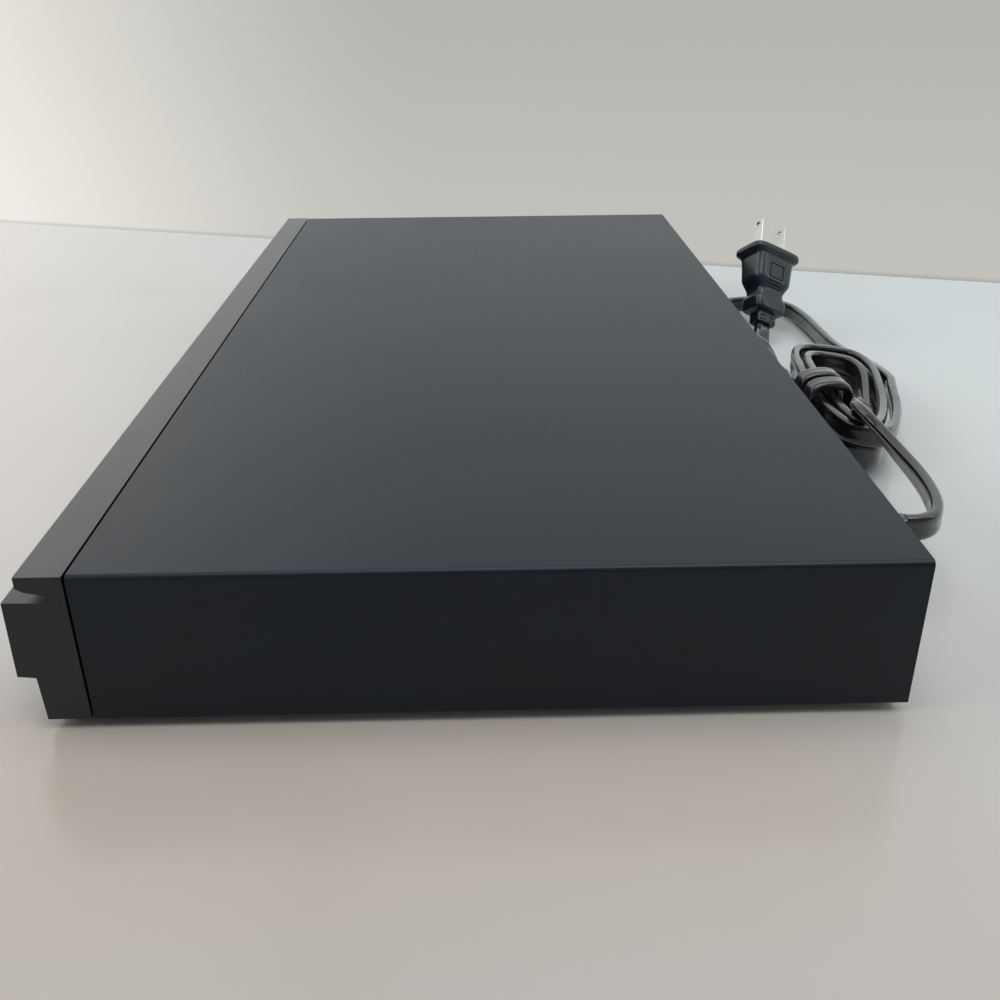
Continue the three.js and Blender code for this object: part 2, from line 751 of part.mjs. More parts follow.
function makeRearScrew(x) {
  const headEndY = panelOuterY + screwHeadHeight;
  const head = rodYAxis(x, screwZ, screwHeadRadius, panelOuterY, headEndY, smallSides);
  const shank = rodYAxis(x, screwZ, screwShankRadius, panelOuterY - screwLength,
    panelOuterY + screwHeadHeight / 2, smallSides);
  const slotFloorY = headEndY - screwSlotDepth;
  const crossSlot = (wide, high) => block(x - wide / 2, x + wide / 2,
    slotFloorY, headEndY + overrun, screwZ - high / 2, screwZ + high / 2);
  const cross = [crossSlot(screwSlotWidth, screwSlotLength), crossSlot(screwSlotLength, screwSlotWidth)];
  return cut(join(head, shank), ...cross);
}

// Moulded front
function bezelProfile() {
  return outline([
    [seamY, footHeight],
    [frontY + kickFootSetback, footHeight],
    [frontY + kickSetback, kickHeight],
    [faceY(frontBottomZ), frontBottomZ],
    [faceY(frontTopZ), frontTopZ],
    [frontY + grooveSetback, grooveBottomZ],
    [frontY + grooveSetback, grooveTopZ],
    [frontY + lipSetback + lipTuckY, lipEdgeZ - lipTuckZ],
    [frontY + lipSetback, lipEdgeZ],
    [frontY + lipSetback, caseHeight],
    [seamY, caseHeight],
  ]);
}

function bezelCavity() {
  const floorY = frontY + cavityFloorSetback;
  return outline([
    [seamY + overrun, footHeight + bezelWall],
    [floorY, footHeight + bezelWall],
    [floorY, cavityStepZ],
    [bezelInnerY, cavityStepZ],
    [bezelInnerY, cavityTopZ],
    [seamY + overrun, cavityTopZ],
  ]);
}

const flapAxisY = faceY(flapAxisZ) + flapHalfThickness;
const postXs = [(windowMaxX + flapMinX) / 2, frontBoardMaxX - postRadius];

function makeBezel() {
  const body = cut(prismX(bezelProfile(), -halfWidth, halfWidth),
    prismX(bezelCavity(), -halfWidth + bezelWall, halfWidth - bezelWall));
  const posts = postXs.map((x) => rodYAxis(x, postZ, postRadius,
    bezelInnerY - bezelWall / 2, frontBoardFaceY, smallSides));
  const hole = (minX, maxX, minZ, maxZ) => block(minX - fitGap, maxX + fitGap,
    frontY - overrun, bezelInnerY + overrun, minZ - fitGap, maxZ + fitGap);
  const buttonHoles = Object.values(buttonXs).map((x) => hole(
    x - buttonWidth / 2, x + buttonWidth / 2,
    buttonZ - buttonHeight / 2, buttonZ + buttonHeight / 2));
  const pinHole = rodXAxis(flapAxisY, flapAxisZ, flapPinRadius + flapPinPlay,
    flapMinX - flapPinLength - 2 * fitGap, flapMaxX + flapPinLength + 2 * fitGap, smallSides);
  return cut(join(body, ...posts),
    hole(loaderX - doorWidth / 2, loaderX + doorWidth / 2, doorMinZ, doorMaxZ),
    hole(windowMinX, windowMaxX, windowMinZ, windowMaxZ),
    hole(flapMinX, flapMaxX, flapAxisZ - flapHalfThickness, flapTopZ),
    pinHole, ...buttonHoles,
    rodYAxis(powerX, buttonZ, powerRadius + fitGap, frontY - overrun, bezelInnerY + overrun));
}

const makeWindow = () => facePlate(windowMinX, windowMaxX, windowMinZ, windowMaxZ,
  windowInset, frontY + windowInset + windowThickness);

function makeFlap() {
  const section = new THREE.Shape();
  section.moveTo(flapAxisY + flapHalfThickness, flapAxisZ);
  section.lineTo(flapAxisY + flapHalfThickness, flapTopZ);
  section.lineTo(flapAxisY - flapHalfThickness, flapTopZ);
  section.lineTo(flapAxisY - flapHalfThickness, flapAxisZ);
  section.absarc(flapAxisY, flapAxisZ, flapHalfThickness, Math.PI, 2 * Math.PI, false);
  const plate = prismX(section, flapMinX, flapMaxX);
  const pin = rodXAxis(flapAxisY, flapAxisZ, flapPinRadius,
    flapMinX - flapPinLength, flapMaxX + flapPinLength, smallSides);
  return join(plate, pin);
}

// Each key has a flange behind the wall and a stem that stops short of its switch
const flangeFrontY = bezelInnerY + fitGap;
const stemEndY = switchFaceY - buttonTravel - fitGap;

function keyBack(x) {
  return rodYAxis(x, buttonZ, buttonStemRadius, flangeFrontY, stemEndY, smallSides);
}

function makeKey(x) {
  const reachX = buttonWidth / 2;
  const reachZ = buttonHeight / 2;
  const cap = facePlate(x - reachX, x + reachX, buttonZ - reachZ, buttonZ + reachZ,
    buttonInset, flangeFrontY + buttonFlangeThickness / 2);
  const flange = block(x - reachX - buttonFlange, x + reachX + buttonFlange,
    flangeFrontY, flangeFrontY + buttonFlangeThickness,
    buttonZ - reachZ - buttonFlange, buttonZ + reachZ + buttonFlange);
  return join(cap, flange, keyBack(x));
}

function makePowerKey() {
  const frontFaceY = faceY(buttonZ + powerRadius) + buttonInset;
  const cap = rodYAxis(powerX, buttonZ, powerRadius,
    frontFaceY, flangeFrontY + buttonFlangeThickness / 2);
  const flange = rodYAxis(powerX, buttonZ, powerRadius + buttonFlange,
    flangeFrontY, flangeFrontY + buttonFlangeThickness);
  return join(cap, flange, keyBack(powerX));
}

// Disc tray
function gearOutline(teeth, phase) {
  const pitch = gearModule * teeth / 2;
  const tip = pitch + addendumShare * gearModule;
  const root = pitch - dedendumShare * gearModule;
  const toothAngle = 2 * Math.PI / teeth;
  const points = [];
  for (let tooth = 0; tooth < teeth; tooth += 1) {
    const middle = phase + tooth * toothAngle;
    const corners = [
      [root, -toothRootShare], [tip, -toothTipShare], [tip, toothTipShare], [root, toothRootShare]];
    for (const [radius, share] of corners) {
      const angle = middle + share * toothAngle / 2;
      points.push([radius * Math.cos(angle), radius * Math.sin(angle)]);
    }
  }
  return outline(points);
}

function makeRack() {
  const pitch = Math.PI * gearModule;
  const rootX = rackPitchX - dedendumShare * gearModule;
  const tipX = rackPitchX + addendumShare * gearModule;
  const firstY = gearAxisY - pitch / 2;
  const count = Math.floor((trayRearY - firstY) / pitch);
  const points = [[rootX - rackBacking, firstY - pitch / 2], [rootX, firstY - pitch / 2]];
  for (let tooth = 0; tooth <= count; tooth += 1) {
    const y = firstY + tooth * pitch;
    points.push([rootX, y - toothRootShare * pitch / 2], [tipX, y - toothTipShare * pitch / 2]);
    points.push([tipX, y + toothTipShare * pitch / 2], [rootX, y + toothRootShare * pitch / 2]);
  }
  points.push([rootX, trayRearY], [rootX - rackBacking, trayRearY]);
  return prismZ(outline(points), gearMinZ, trayBottomZ + recessFloorThickness / 2);
}

function makeTray() {
  const plate = block(loaderX - trayWidth / 2, loaderX + trayWidth / 2, trayFrontY, trayRearY,
    trayBottomZ, trayTopZ);
  const recessFloorZ = trayBottomZ + recessFloorThickness;
  const recess = rodZAxis(loaderX, spindleY, discRadius + discPlay,
    recessFloorZ, trayTopZ + overrun, discSides);
  const smallRecess = rodZAxis(loaderX, spindleY, smallDiscRadius + discPlay,
    recessFloorZ - smallRecessDepth, trayTopZ + overrun, discSides);
  const slotEnd = rodZAxis(loaderX, spindleY, traySlotHalfWidth,
    gearMinZ - overrun, trayTopZ + overrun);
  const slot = block(loaderX - traySlotHalfWidth, loaderX + traySlotHalfWidth,
    spindleY, trayRearY + overrun, trayBottomZ - overrun, trayTopZ + overrun);
  return cut(join(plate, makeRack()), recess, smallRecess, slotEnd, slot);
}

const makeDoor = () => facePlate(loaderX - doorWidth / 2, loaderX + doorWidth / 2,
  doorMinZ, doorMaxZ, 0, trayFrontY);

function makeTrayGear() {
  const wheel = prismZ(gearOutline(trayGearTeeth, 0), gearMinZ, gearMinZ + gearThickness);
  const hub = rodZAxis(0, 0, hubRadius,
    frameFloorTopZ + gearClearance, gearMinZ + gearThickness, smallSides);
  const bore = rodZAxis(0, 0, axlePinRadius + axlePlay, pulleyBaseZ - overrun,
    gearMinZ + gearThickness + overrun, smallSides);
  return cut(join(wheel, hub), bore).translate(trayGearX, gearAxisY, 0);
}

function pulleyProfile(groove) {
  const rim = groove + pulleyRimDepth;
  const grooveMinZ = pulleyBaseZ + pulleyRimThickness;
  const grooveMaxZ = grooveMinZ + pulleyGrooveHeight;
  const topZ = grooveMaxZ + pulleyRimThickness;
  return [[0, pulleyBaseZ], [rim, pulleyBaseZ], [rim, grooveMinZ], [groove, grooveMinZ],
    [groove, grooveMaxZ], [rim, grooveMaxZ], [rim, topZ], [0, topZ]];
}

function makePulleyGear() {
  const pinion = prismZ(gearOutline(pinionTeeth, Math.PI / pinionTeeth),
    pulleyBaseZ + pulleyRimThickness, gearMinZ + gearThickness);
  const bore = rodZAxis(0, 0, axlePinRadius + axlePlay, pulleyBaseZ - overrun,
    gearMinZ + gearThickness + overrun, smallSides);
  return cut(join(turned(0, 0, pulleyProfile(pulleyGrooveRadius)), pinion), bore)
    .translate(pulleyX, gearAxisY, 0);
}

const makeMotorPulley = () => turned(loadMotorX, gearAxisY, pulleyProfile(motorGrooveRadius));

// Belt round the two pulleys: two arcs and their outer tangents
function beltLoop(path, extra) {
  const spacing = loadMotorX - pulleyX;
  const large = pulleyGrooveRadius + beltPlay + extra;
  const small = motorGrooveRadius + beltPlay + extra;
  const lean = Math.acos((large - small) / spacing);
  path.absarc(pulleyX, gearAxisY, large, lean, 2 * Math.PI - lean, false);
  path.absarc(loadMotorX, gearAxisY, small, -lean, lean, false);
  path.closePath();
  return path;
}

function makeBelt() {
  const shape = beltLoop(new THREE.Shape(), beltThickness);
  shape.holes.push(beltLoop(new THREE.Path(), 0));
  const minZ = pulleyBaseZ + pulleyRimThickness + beltPlay;
  return prismZ(shape, minZ, minZ + pulleyGrooveHeight - 2 * beltPlay, roundSides / 2);
}

// Loader frame
function makeFrame() {
  const wall = (minX) => block(minX, minX + frameWall,
    frameFrontY, frameRearY, floorTopZ, frameTopZ);
  const floor = block(frameMinX + frameWall / 2, frameMaxX - frameWall / 2,
    frameFrontY, frameFloorRearY, frameFloorTopZ - frameFloorThickness, frameFloorTopZ);
  const crossbar = block(frameMinX + frameWall / 2, frameMaxX - frameWall / 2,
    frameRearY - crossbarDepth, frameRearY, floorTopZ, crossbarTopZ);
  const railTopZ = trayBottomZ - fitGap;
  const tabMinZ = trayTopZ + fitGap;
  const tabMaxZ = tabMinZ + holdDownThickness;
  const sides = [
    [frameInnerMinX - frameWall / 2, frameInnerMinX + railWidth],
    [frameInnerMaxX - railWidth, frameInnerMaxX + frameWall / 2]];
  const guides = sides.flatMap(([minX, maxX]) => [
    block(minX, maxX, frameFrontY, frameRearY, railTopZ - railThickness, railTopZ),
    block(minX, maxX, frameFrontY, frameFrontY + holdDownLength, tabMinZ, tabMaxZ),
    block(minX, maxX, -holdDownLength / 2, holdDownLength / 2, tabMinZ, tabMaxZ)]);
  const pins = [trayGearX, pulleyX].map((x) => rodZAxis(x, gearAxisY, axlePinRadius,
    frameFloorTopZ - frameFloorThickness / 2, gearMinZ + gearThickness, smallSides));
  const lugs = [-1, 1].flatMap((side) => {
    const nearX = loaderX + side * (deckHalfWidth + lugGap);
    const farX = nearX + side * lugThickness;
    const minX = Math.min(nearX, farX);
    const maxX = Math.max(nearX, farX);
    return [
      rodXAxis(pivotY, pivotZ, lugRadius, minX, maxX),
      block(minX, maxX, pivotY, frameRearY - crossbarDepth / 2, floorTopZ, crossbarTopZ)];
  });
  const pivotHoles = [-1, 1].map((side) => {
    const nearX = loaderX + side * (deckHalfWidth + lugGap - overrun);
    const farX = loaderX + side * (deckHalfWidth + lugGap + lugThickness + overrun);
    return rodXAxis(pivotY, pivotZ, pivotPinRadius + pivotPlay,
      Math.min(nearX, farX), Math.max(nearX, farX));
  });
  const shaftHole = rodZAxis(loadMotorX, gearAxisY, 2 * motorShaftRadius,
    frameFloorTopZ - frameFloorThickness - overrun, frameFloorTopZ + overrun, smallSides);
  return cut(join(wall(frameMinX), wall(frameInnerMaxX), floor, crossbar, ...guides, ...pins, ...lugs),
    ...pivotHoles, shaftHole);
}

function makeBridge() {
  const plate = block(frameMinX, frameMaxX, spindleY - bridgeDepth / 2, spindleY + bridgeDepth / 2,
    frameTopZ, frameTopZ + bridgeThickness);
  return cut(plate, rodZAxis(loaderX, spindleY, bridgeHoleRadius,
    frameTopZ - overrun, frameTopZ + bridgeThickness + overrun));
}

function makePuck() {
  const neckMinZ = puckLowerZ + puckLowerThickness;
  const flangeMinZ = frameTopZ + bridgeThickness + puckPlay;
  return turned(loaderX, spindleY, [[0, puckLowerZ], [puckRadius, puckLowerZ], [puckRadius, neckMinZ],
    [puckNeckRadius, neckMinZ], [puckNeckRadius, flangeMinZ], [puckRadius, flangeMinZ],
    [puckRadius, flangeMinZ + puckUpperThickness], [0, flangeMinZ + puckUpperThickness]]);
}

function makeLoadMotor() {
  const bodyTopZ = frameFloorTopZ - frameFloorThickness;
  return turned(loadMotorX, gearAxisY, [[0, loadMotorBaseZ], [loadMotorRadius, loadMotorBaseZ],
    [loadMotorRadius, bodyTopZ], [motorShaftRadius, bodyTopZ],
    [motorShaftRadius, pulleyBaseZ - motorShaftGap], [0, pulleyBaseZ - motorShaftGap]]);
}

// Traverse deck: a plate hinged at the rear and held up at the front by two pins in the cam slider
const rodXs = [loaderX - rodOffsetX, loaderX + rodOffsetX];
const leadScrewX = loaderX + screwOffsetX;
const camPinXs = [loaderX - camPinSpread / 2, loaderX + camPinSpread / 2];

function makeDeck() {
  const plate = block(loaderX - deckHalfWidth, loaderX + deckHalfWidth,
    deckFrontY, deckRearY, deckBottomZ, deckTopZ);
  const flanges = [-1, 1].map((side) => {
    const outerX = loaderX + side * deckHalfWidth;
    const innerX = outerX - side * deckThickness;
    return block(Math.min(outerX, innerX), Math.max(outerX, innerX), deckFrontY, deckRearY,
      deckBottomZ - deckFlangeDrop, deckTopZ);
  });
  const arms = [-1, 1].flatMap((side) => {
    const outerX = loaderX + side * deckHalfWidth;
    const innerX = outerX - side * deckArmWidth;
    const minX = Math.min(outerX, innerX);
    const maxX = Math.max(outerX, innerX);
    const pinX = outerX + side * (lugGap + lugThickness);
    return [
      rodXAxis(pivotY, pivotZ, deckArmRadius, minX, maxX),
      block(minX, maxX, deckRearY - deckThickness, pivotY, pivotZ, deckTopZ),
      rodXAxis(pivotY, pivotZ, pivotPinRadius, Math.min(innerX, pinX), Math.max(innerX, pinX))];
  });
  const bosses = rodXs.flatMap((x) => [
    block(x - bossHalfWidth, x + bossHalfWidth, rodFrontY - fitGap - bossDepth, rodFrontY - fitGap,
      bossMinZ, camPinZ),
    block(x - bossHalfWidth, x + bossHalfWidth, rodRearY + fitGap, rodRearY + fitGap + bossDepth,
      bossMinZ, camPinZ)]);
  const screwBoss = block(leadScrewX - leadScrewRadius, leadScrewX + leadScrewRadius,
    leadScrewFrontY - fitGap - bossDepth, leadScrewFrontY - fitGap,
    leadScrewZ - leadScrewRadius, camPinZ);
  const pins = camPinXs.map((x) => rodYAxis(x, camPinZ, camPinRadius, camFrontY + fitGap,
    deckFrontY + 2 * camPinRadius, smallSides));
  const window = block(loaderX - sledWindowHalfWidth, loaderX + sledWindowHalfWidth,
    lensHomeY - sledFrontReach - sledWindowPlay, sledWindowRearY,
    deckBottomZ - overrun, deckTopZ + overrun);
  const spindleHole = rodZAxis(loaderX, spindleY, spindleHoleRadius,
    deckBottomZ - overrun, deckTopZ + overrun);
  return cut(join(plate, ...flanges, ...arms, ...bosses, screwBoss, ...pins), window, spindleHole);
}

function makeCamSlider() {
  const plate = block(loaderX - camWidth / 2, loaderX + camWidth / 2,
    camFrontY, camFrontY + camThickness, camMinZ, camMaxZ);
  const slope = Math.atan2(camDrop, camTravel);
  const slots = camPinXs.map((x) => {
    const shape = new THREE.Shape();
    shape.absarc(x, camPinZ, camSlotRadius, slope - Math.PI / 2, slope + Math.PI / 2, false);
    shape.absarc(x - camTravel, camPinZ - camDrop, camSlotRadius,
      slope + Math.PI / 2, slope + 3 * Math.PI / 2, false);
    return prismY(shape, camFrontY - overrun, camFrontY + camThickness + overrun);
  });
  return cut(plate, ...slots);
}

const makeSpindleMotor = () => rodZAxis(loaderX, spindleY, spindleMotorRadius,
  deckBottomZ - spindleMotorHeight, deckBottomZ);

function makeTurntable() {
  const seatBottomZ = turntableSeatZ - turntableThickness;
  return turned(loaderX, spindleY, [[0, deckBottomZ + fitGap], [spindleShaftRadius, deckBottomZ + fitGap],
    [spindleShaftRadius, deckTopZ + gearClearance], [turntableHubRadius, deckTopZ + gearClearance],
    [turntableHubRadius, seatBottomZ], [turntableRadius, seatBottomZ], [turntableRadius, turntableSeatZ],
    [coneRadius, turntableSeatZ], [coneRadius - coneTaper, turntableSeatZ + coneHeight],
    [0, turntableSeatZ + coneHeight]]);
}

const makeRod = (x) => rodYAxis(x, rodZ, rodRadius, rodFrontY, rodRearY, smallSides);

function makeSled() {
  const minY = lensHomeY - sledFrontReach;
  const maxY = lensHomeY + sledRearReach;
  const carriage = block(loaderX - sledHalfWidth, loaderX + sledHalfWidth,
    minY, maxY, sledMinZ, sledMaxZ);
  const tower = block(loaderX - sledTowerHalfWidth, loaderX + sledTowerHalfWidth,
    minY, maxY, sledMinZ, sledTowerTopZ);
  const bores = rodXs.map((x) => rodYAxis(x, rodZ, rodRadius + fitGap,
    minY - overrun, maxY + overrun, smallSides));
  return cut(join(carriage, tower), ...bores);
}

const makeLens = () => turned(loaderX, lensHomeY, [
  [0, lensMinZ], [lensRadius, lensMinZ], [lensRadius, lensMaxZ - lensRimHeight],
  [lensRadius - lensRimHeight, lensMaxZ - lensRimHeight / 2],
  [lensRadius / 2, lensMaxZ], [0, lensMaxZ]]);

const makeSledMotor = () => rodYAxis(leadScrewX, leadScrewZ, sledMotorRadius,
  sledMotorFrontY, sledMotorFrontY + sledMotorLength);

const makeLeadScrew = () => rodYAxis(leadScrewX, leadScrewZ, leadScrewRadius,
  leadScrewFrontY, sledMotorFrontY - fitGap, smallSides);

// Circuit boards and what stands on them
const ribbonSocketTopZ = boardTopZ + ribbonSocketHeight;

function makeMainBoard() {
  const board = block(mainBoardMinX, mainBoardMaxX, mainBoardMinY, mainBoardMaxY,
    boardHeight, boardTopZ);
  const seatZ = boardTopZ - boardThickness / 2;
  const chip = (x, y, size, height) => block(
    x - size / 2, x + size / 2, y - size / 2, y + size / 2, seatZ, boardTopZ + height);
  const frontSocket = block(ribbonFrontX - ribbonWidth / 2, ribbonFrontX + ribbonWidth / 2,
    mainBoardMinY + fitGap, mainBoardMinY + fitGap + ribbonSocketDepth, seatZ, ribbonSocketTopZ);
  const driveSocket = block(mainBoardMinX + fitGap, mainBoardMinX + fitGap + ribbonSocketDepth,
    driveRibbonY - ribbonWidth / 2, driveRibbonY + ribbonWidth / 2, seatZ, ribbonSocketTopZ);
  const smallChipX = THREE.MathUtils.lerp(chipX + sinkSize / 2, mainBoardMaxX, smallChipShare);
  return join(board, chip(chipX, chipY, chipSize, chipHeight),
    chip(smallChipX, chipY, smallChipSize, smallChipHeight),
    chip(smallChipX, chipY - 2 * smallChipSize, smallChipSize, smallChipHeight),
    frontSocket, driveSocket);
}

function makeHeatsink() {
  const baseZ = boardTopZ + chipHeight;
  const base = block(chipX - sinkSize / 2, chipX + sinkSize / 2,
    chipY - sinkSize / 2, chipY + sinkSize / 2, baseZ, baseZ + sinkBase);
  const fins = Array.from({ length: sinkFinCount }, (_, index) => {
    const x = chipX - sinkSize / 2 + index * (sinkSize - sinkFinThickness) / (sinkFinCount - 1);
    return block(x, x + sinkFinThickness, chipY - sinkSize / 2, chipY + sinkSize / 2,
      baseZ + sinkBase / 2, baseZ + sinkBase + sinkFinHeight);
  });
  return join(base, ...fins);
}

function makeLanPort() {
  const shell = block(lanX - lanWidth / 2, lanX + lanWidth / 2, socketEndY - lanDepth, socketEndY,
    lanMinZ, lanMinZ + lanHeight);
  const middleZ = lanMinZ + lanHeight / 2;
  return cut(shell, block(lanX - lanSocketWidth / 2, lanX + lanSocketWidth / 2,
    socketEndY - lanSocketDepth, socketEndY + overrun,
    middleZ - lanSocketHeight / 2, middleZ + lanSocketHeight / 2));
}

// A shell with a tongue inside, open at one end
function tonguePort(minX, maxX, minZ, maxZ, wall, tongue, openY, backY) {
  const towardsBack = Math.sign(backY - openY);
  const floorY = backY - towardsBack * 2 * wall;
  const shell = block(minX, maxX, Math.min(openY, backY), Math.max(openY, backY), minZ, maxZ);
  const mouthY = openY - towardsBack * overrun;
  const mouth = block(minX + wall, maxX - wall, Math.min(mouthY, floorY), Math.max(mouthY, floorY),
    minZ + wall, maxZ - wall);
  const middleZ = (minZ + maxZ) / 2;
  const tipY = openY + towardsBack * hdmiTongueInset;
  const blade = block(minX + 3 * wall, maxX - 3 * wall, Math.min(tipY, backY - towardsBack * wall),
    Math.max(tipY, backY - towardsBack * wall), middleZ - tongue / 2, middleZ + tongue / 2);
  return join(cut(shell, mouth), blade);
}

const makeHdmiPort = () => tonguePort(hdmiX - hdmiWidth / 2, hdmiX + hdmiWidth / 2,
  hdmiMinZ, hdmiMinZ + hdmiHeight, hdmiWall, hdmiTongue, socketEndY, socketEndY - hdmiDepth);

const flapMiddleX = (flapMinX + flapMaxX) / 2;

const makeUsbPort = () => tonguePort(flapMiddleX - usbWidth / 2, flapMiddleX + usbWidth / 2,
  usbZ - usbHeight / 2, usbZ + usbHeight / 2, usbWall, usbTongue,
  frontBoardFaceY - usbDepth, frontBoardFaceY);

function makePowerBoard() {
  const board = block(powerBoardMinX, powerBoardMaxX, powerBoardMinY, powerBoardMaxY,
    boardHeight, boardTopZ);
  const connector = block(cordExitX - connectorWidth / 2, cordExitX + connectorWidth / 2,
    connectorY - connectorDepth / 2, connectorY + connectorDepth / 2,
    boardTopZ - boardThickness / 2, boardTopZ + connectorHeight);
  return join(board, connector);
}

function makeTransformer() {
  const halfCore = transformerCoreThickness / 2;
  const core = block(transformerX - halfCore, transformerX + halfCore,
    transformerY - transformerDepth / 2, transformerY + transformerDepth / 2,
    boardTopZ, boardTopZ + transformerHeight);
  const bobbin = block(transformerX - transformerWidth / 2, transformerX + transformerWidth / 2,
    transformerY - transformerDepth / 3, transformerY + transformerDepth / 3,
    boardTopZ, boardTopZ + transformerHeight - halfCore);
  return join(core, bobbin);
}

const makeCapacitor = () => turned(capacitorX, capacitorY, [[0, boardTopZ], [capacitorRadius, boardTopZ],
  [capacitorRadius, boardTopZ + capacitorHeight - bendRadius],
  [capacitorRadius - bendRadius, boardTopZ + capacitorHeight], [0, boardTopZ + capacitorHeight]]);

const frontBoardBackY = frontBoardFaceY + boardThickness;

function makeFrontBoard() {
  const board = block(frontBoardMinX, frontBoardMaxX, frontBoardFaceY, frontBoardBackY,
    frontBoardMinZ, frontBoardMaxZ);
  const switches = switchXs.map((x) => block(x - switchSize / 2, x + switchSize / 2,
    switchFaceY, frontBoardFaceY + boardThickness / 2,
    buttonZ - switchSize / 2, buttonZ + switchSize / 2));
  return join(board, ...switches);
}

const makeDisplay = () => block(windowMinX + displayInset, windowMaxX - displayInset,
  frontBoardFaceY - displayDepth, frontBoardFaceY, windowMinZ, windowMaxZ);

// A flat cable follows a line of points with a constant thickness
function cableSection(points) {
  const upper = points.map(([u, v]) => [u, v + ribbonThickness / 2]);
  const lower = points.map(([u, v]) => [u, v - ribbonThickness / 2]).reverse();
  return outline([...upper, ...lower]);
}

const makeFrontRibbon = () => prismX(cableSection([
  [frontBoardBackY + fitGap, ribbonFrontZ], [frontBoardBackY + ribbonWidth, ribbonSagZ],
  [frontBoardBackY + ribbonSagReach, ribbonSagZ],
  [mainBoardMinY - ribbonWidth, ribbonSagZ + ribbonThickness],
  [mainBoardMinY, boardTopZ + ribbonSocketHeight / 2]]),
ribbonFrontX - ribbonWidth / 2, ribbonFrontX + ribbonWidth / 2);

const makeDriveRibbon = () => prismY(cableSection([
  [frameMaxX + fitGap, boardTopZ + ribbonSocketHeight / 2],
  [(frameMaxX + mainBoardMinX) / 2, boardTopZ + ribbonSocketHeight / 2 + driveRibbonRise],
  [mainBoardMinX, boardTopZ + ribbonSocketHeight / 2]]),
driveRibbonY - ribbonWidth / 2, driveRibbonY + ribbonWidth / 2);

// Flat cord: its free lengths have eight sides, and its wound lengths six
const halfCord = cordWidth / 2;
const halfThickness = cordThickness / 2;
const freeSection = [
  [halfCord, halfThickness * cordEdgeShare], [halfCord * cordFlatShare, halfThickness],
  [-halfCord * cordFlatShare, halfThickness], [-halfCord, halfThickness * cordEdgeShare],
  [-halfCord, -halfThickness * cordEdgeShare], [-halfCord * cordFlatShare, -halfThickness],
  [halfCord * cordFlatShare, -halfThickness], [halfCord, -halfThickness * cordEdgeShare]];
const woundSection = [
  [halfCord, 0], [halfCord * woundFlatShare, halfThickness],
  [-halfCord * woundFlatShare, halfThickness], [-halfCord, 0],
  [-halfCord * woundFlatShare, -halfThickness], [halfCord * woundFlatShare, -halfThickness]];

// Rings of points joined into one closed body
function skin(rings) {
  const count = rings[0].length;
  const index = [];
  for (let ring = 0; ring < rings.length - 1; ring += 1) {
    for (let side = 0; side < count; side += 1) {
      const a = ring * count + side;
      const b = ring * count + (side + 1) % count;
      index.push(a, b, a + count, b, b + count, a + count);
    }
  }
  const last = (rings.length - 1) * count;
  for (let side = 1; side < count - 1; side += 1) {
    index.push(0, side + 1, side, last, last + side, last + side + 1);
  }
  const positions = rings.flat().flatMap((point) => [point.x, point.y, point.z]);
  const geometry = new THREE.BufferGeometry();
  geometry.setAttribute('position', new THREE.Float32BufferAttribute(positions, 3));
  geometry.setIndex(index);
  return geometry;
}

const signedPower = (value, power) => Math.sign(value) * Math.abs(value) ** power;
const up = new THREE.Vector3(0, 0, 1);
const alongX = new THREE.Vector3(1, 0, 0);

// Wound cord: at each point its width lies along a given direction
function woundFrames(points, widthDirection) {
  return points.map((centre, index) => {
    const before = points[Math.max(index - 1, 0)];
    const after = points[Math.min(index + 1, points.length - 1)];
    const along = after.clone().sub(before).normalize();
    const across = widthDirection.clone().addScaledVector(along, -widthDirection.dot(along)).normalize();
    return { centre, along, across, through: new THREE.Vector3().crossVectors(along, across) };
  });
}

const onFrame = (frame, [u, v]) => frame.centre.clone()
  .addScaledVector(frame.across, u).addScaledVector(frame.through, v);

const woundTube = (frames) => skin(
  frames.map((frame) => woundSection.map((corner) => onFrame(frame, corner))));

// A wound length starts and ends with a straight piece as long as the cord is wide
function withStraightEnds(points) {
  const [first, second] = points;
  const [nextToLast, last] = points.slice(-2);
  return [
    first.clone().sub(second).setLength(cordWidth).add(first), ...points,
    last.clone().sub(nextToLast).setLength(cordWidth).add(last)];
}

// Hank: loops in two layers that spiral in, step down a layer along a run, and spiral out
function hankPoint(loops) {
  const outward = Math.abs(reverseLoop - loops);
  const angle = Math.PI / 2 - 2 * Math.PI * loops;
  const cosine = Math.cos(angle);
  const reach = cosine > 0
    ? hankNearReach + hankNearStep * outward
    : hankFarReach + hankFarStep * outward;
  const half = hankHalfWidth * (1 - hankTaperShare * cosine) + hankStep * outward;
  const fall = THREE.MathUtils.smoothstep(
    loops, reverseLoop - climbShare / 2, reverseLoop + climbShare / 2);
  const lift = hankLift * (1 + Math.cos(angle - liftAngle)) / 2;
  return new THREE.Vector3(
    reach * signedPower(cosine, hankSquareShare),
    half * signedPower(Math.sin(angle), hankTipShare),
    hankBaseZ + hankLayer * (1 - fall) + lift,
  ).applyAxisAngle(up, hankTurn).add(new THREE.Vector3(hankX, hankY, 0));
}

const hankSteps = Math.round(hankLoops * stepsPerLoop);
const hankPoints = withStraightEnds(
  Array.from({ length: hankSteps + 1 }, (_, step) => hankPoint(step / stepsPerLoop)));
const hankFrames = woundFrames(hankPoints, up);

// Wraps: the cord winds round the hank's inner run, advancing by one pitch a turn
const wrapTurns = (wrapStartAngle - wrapEndAngle) / (2 * Math.PI);
const wrapAlong = new THREE.Vector3(Math.cos(wrapHeading), Math.sin(wrapHeading), 0);
const wrapAcross = new THREE.Vector3(wrapAlong.y, -wrapAlong.x, 0);

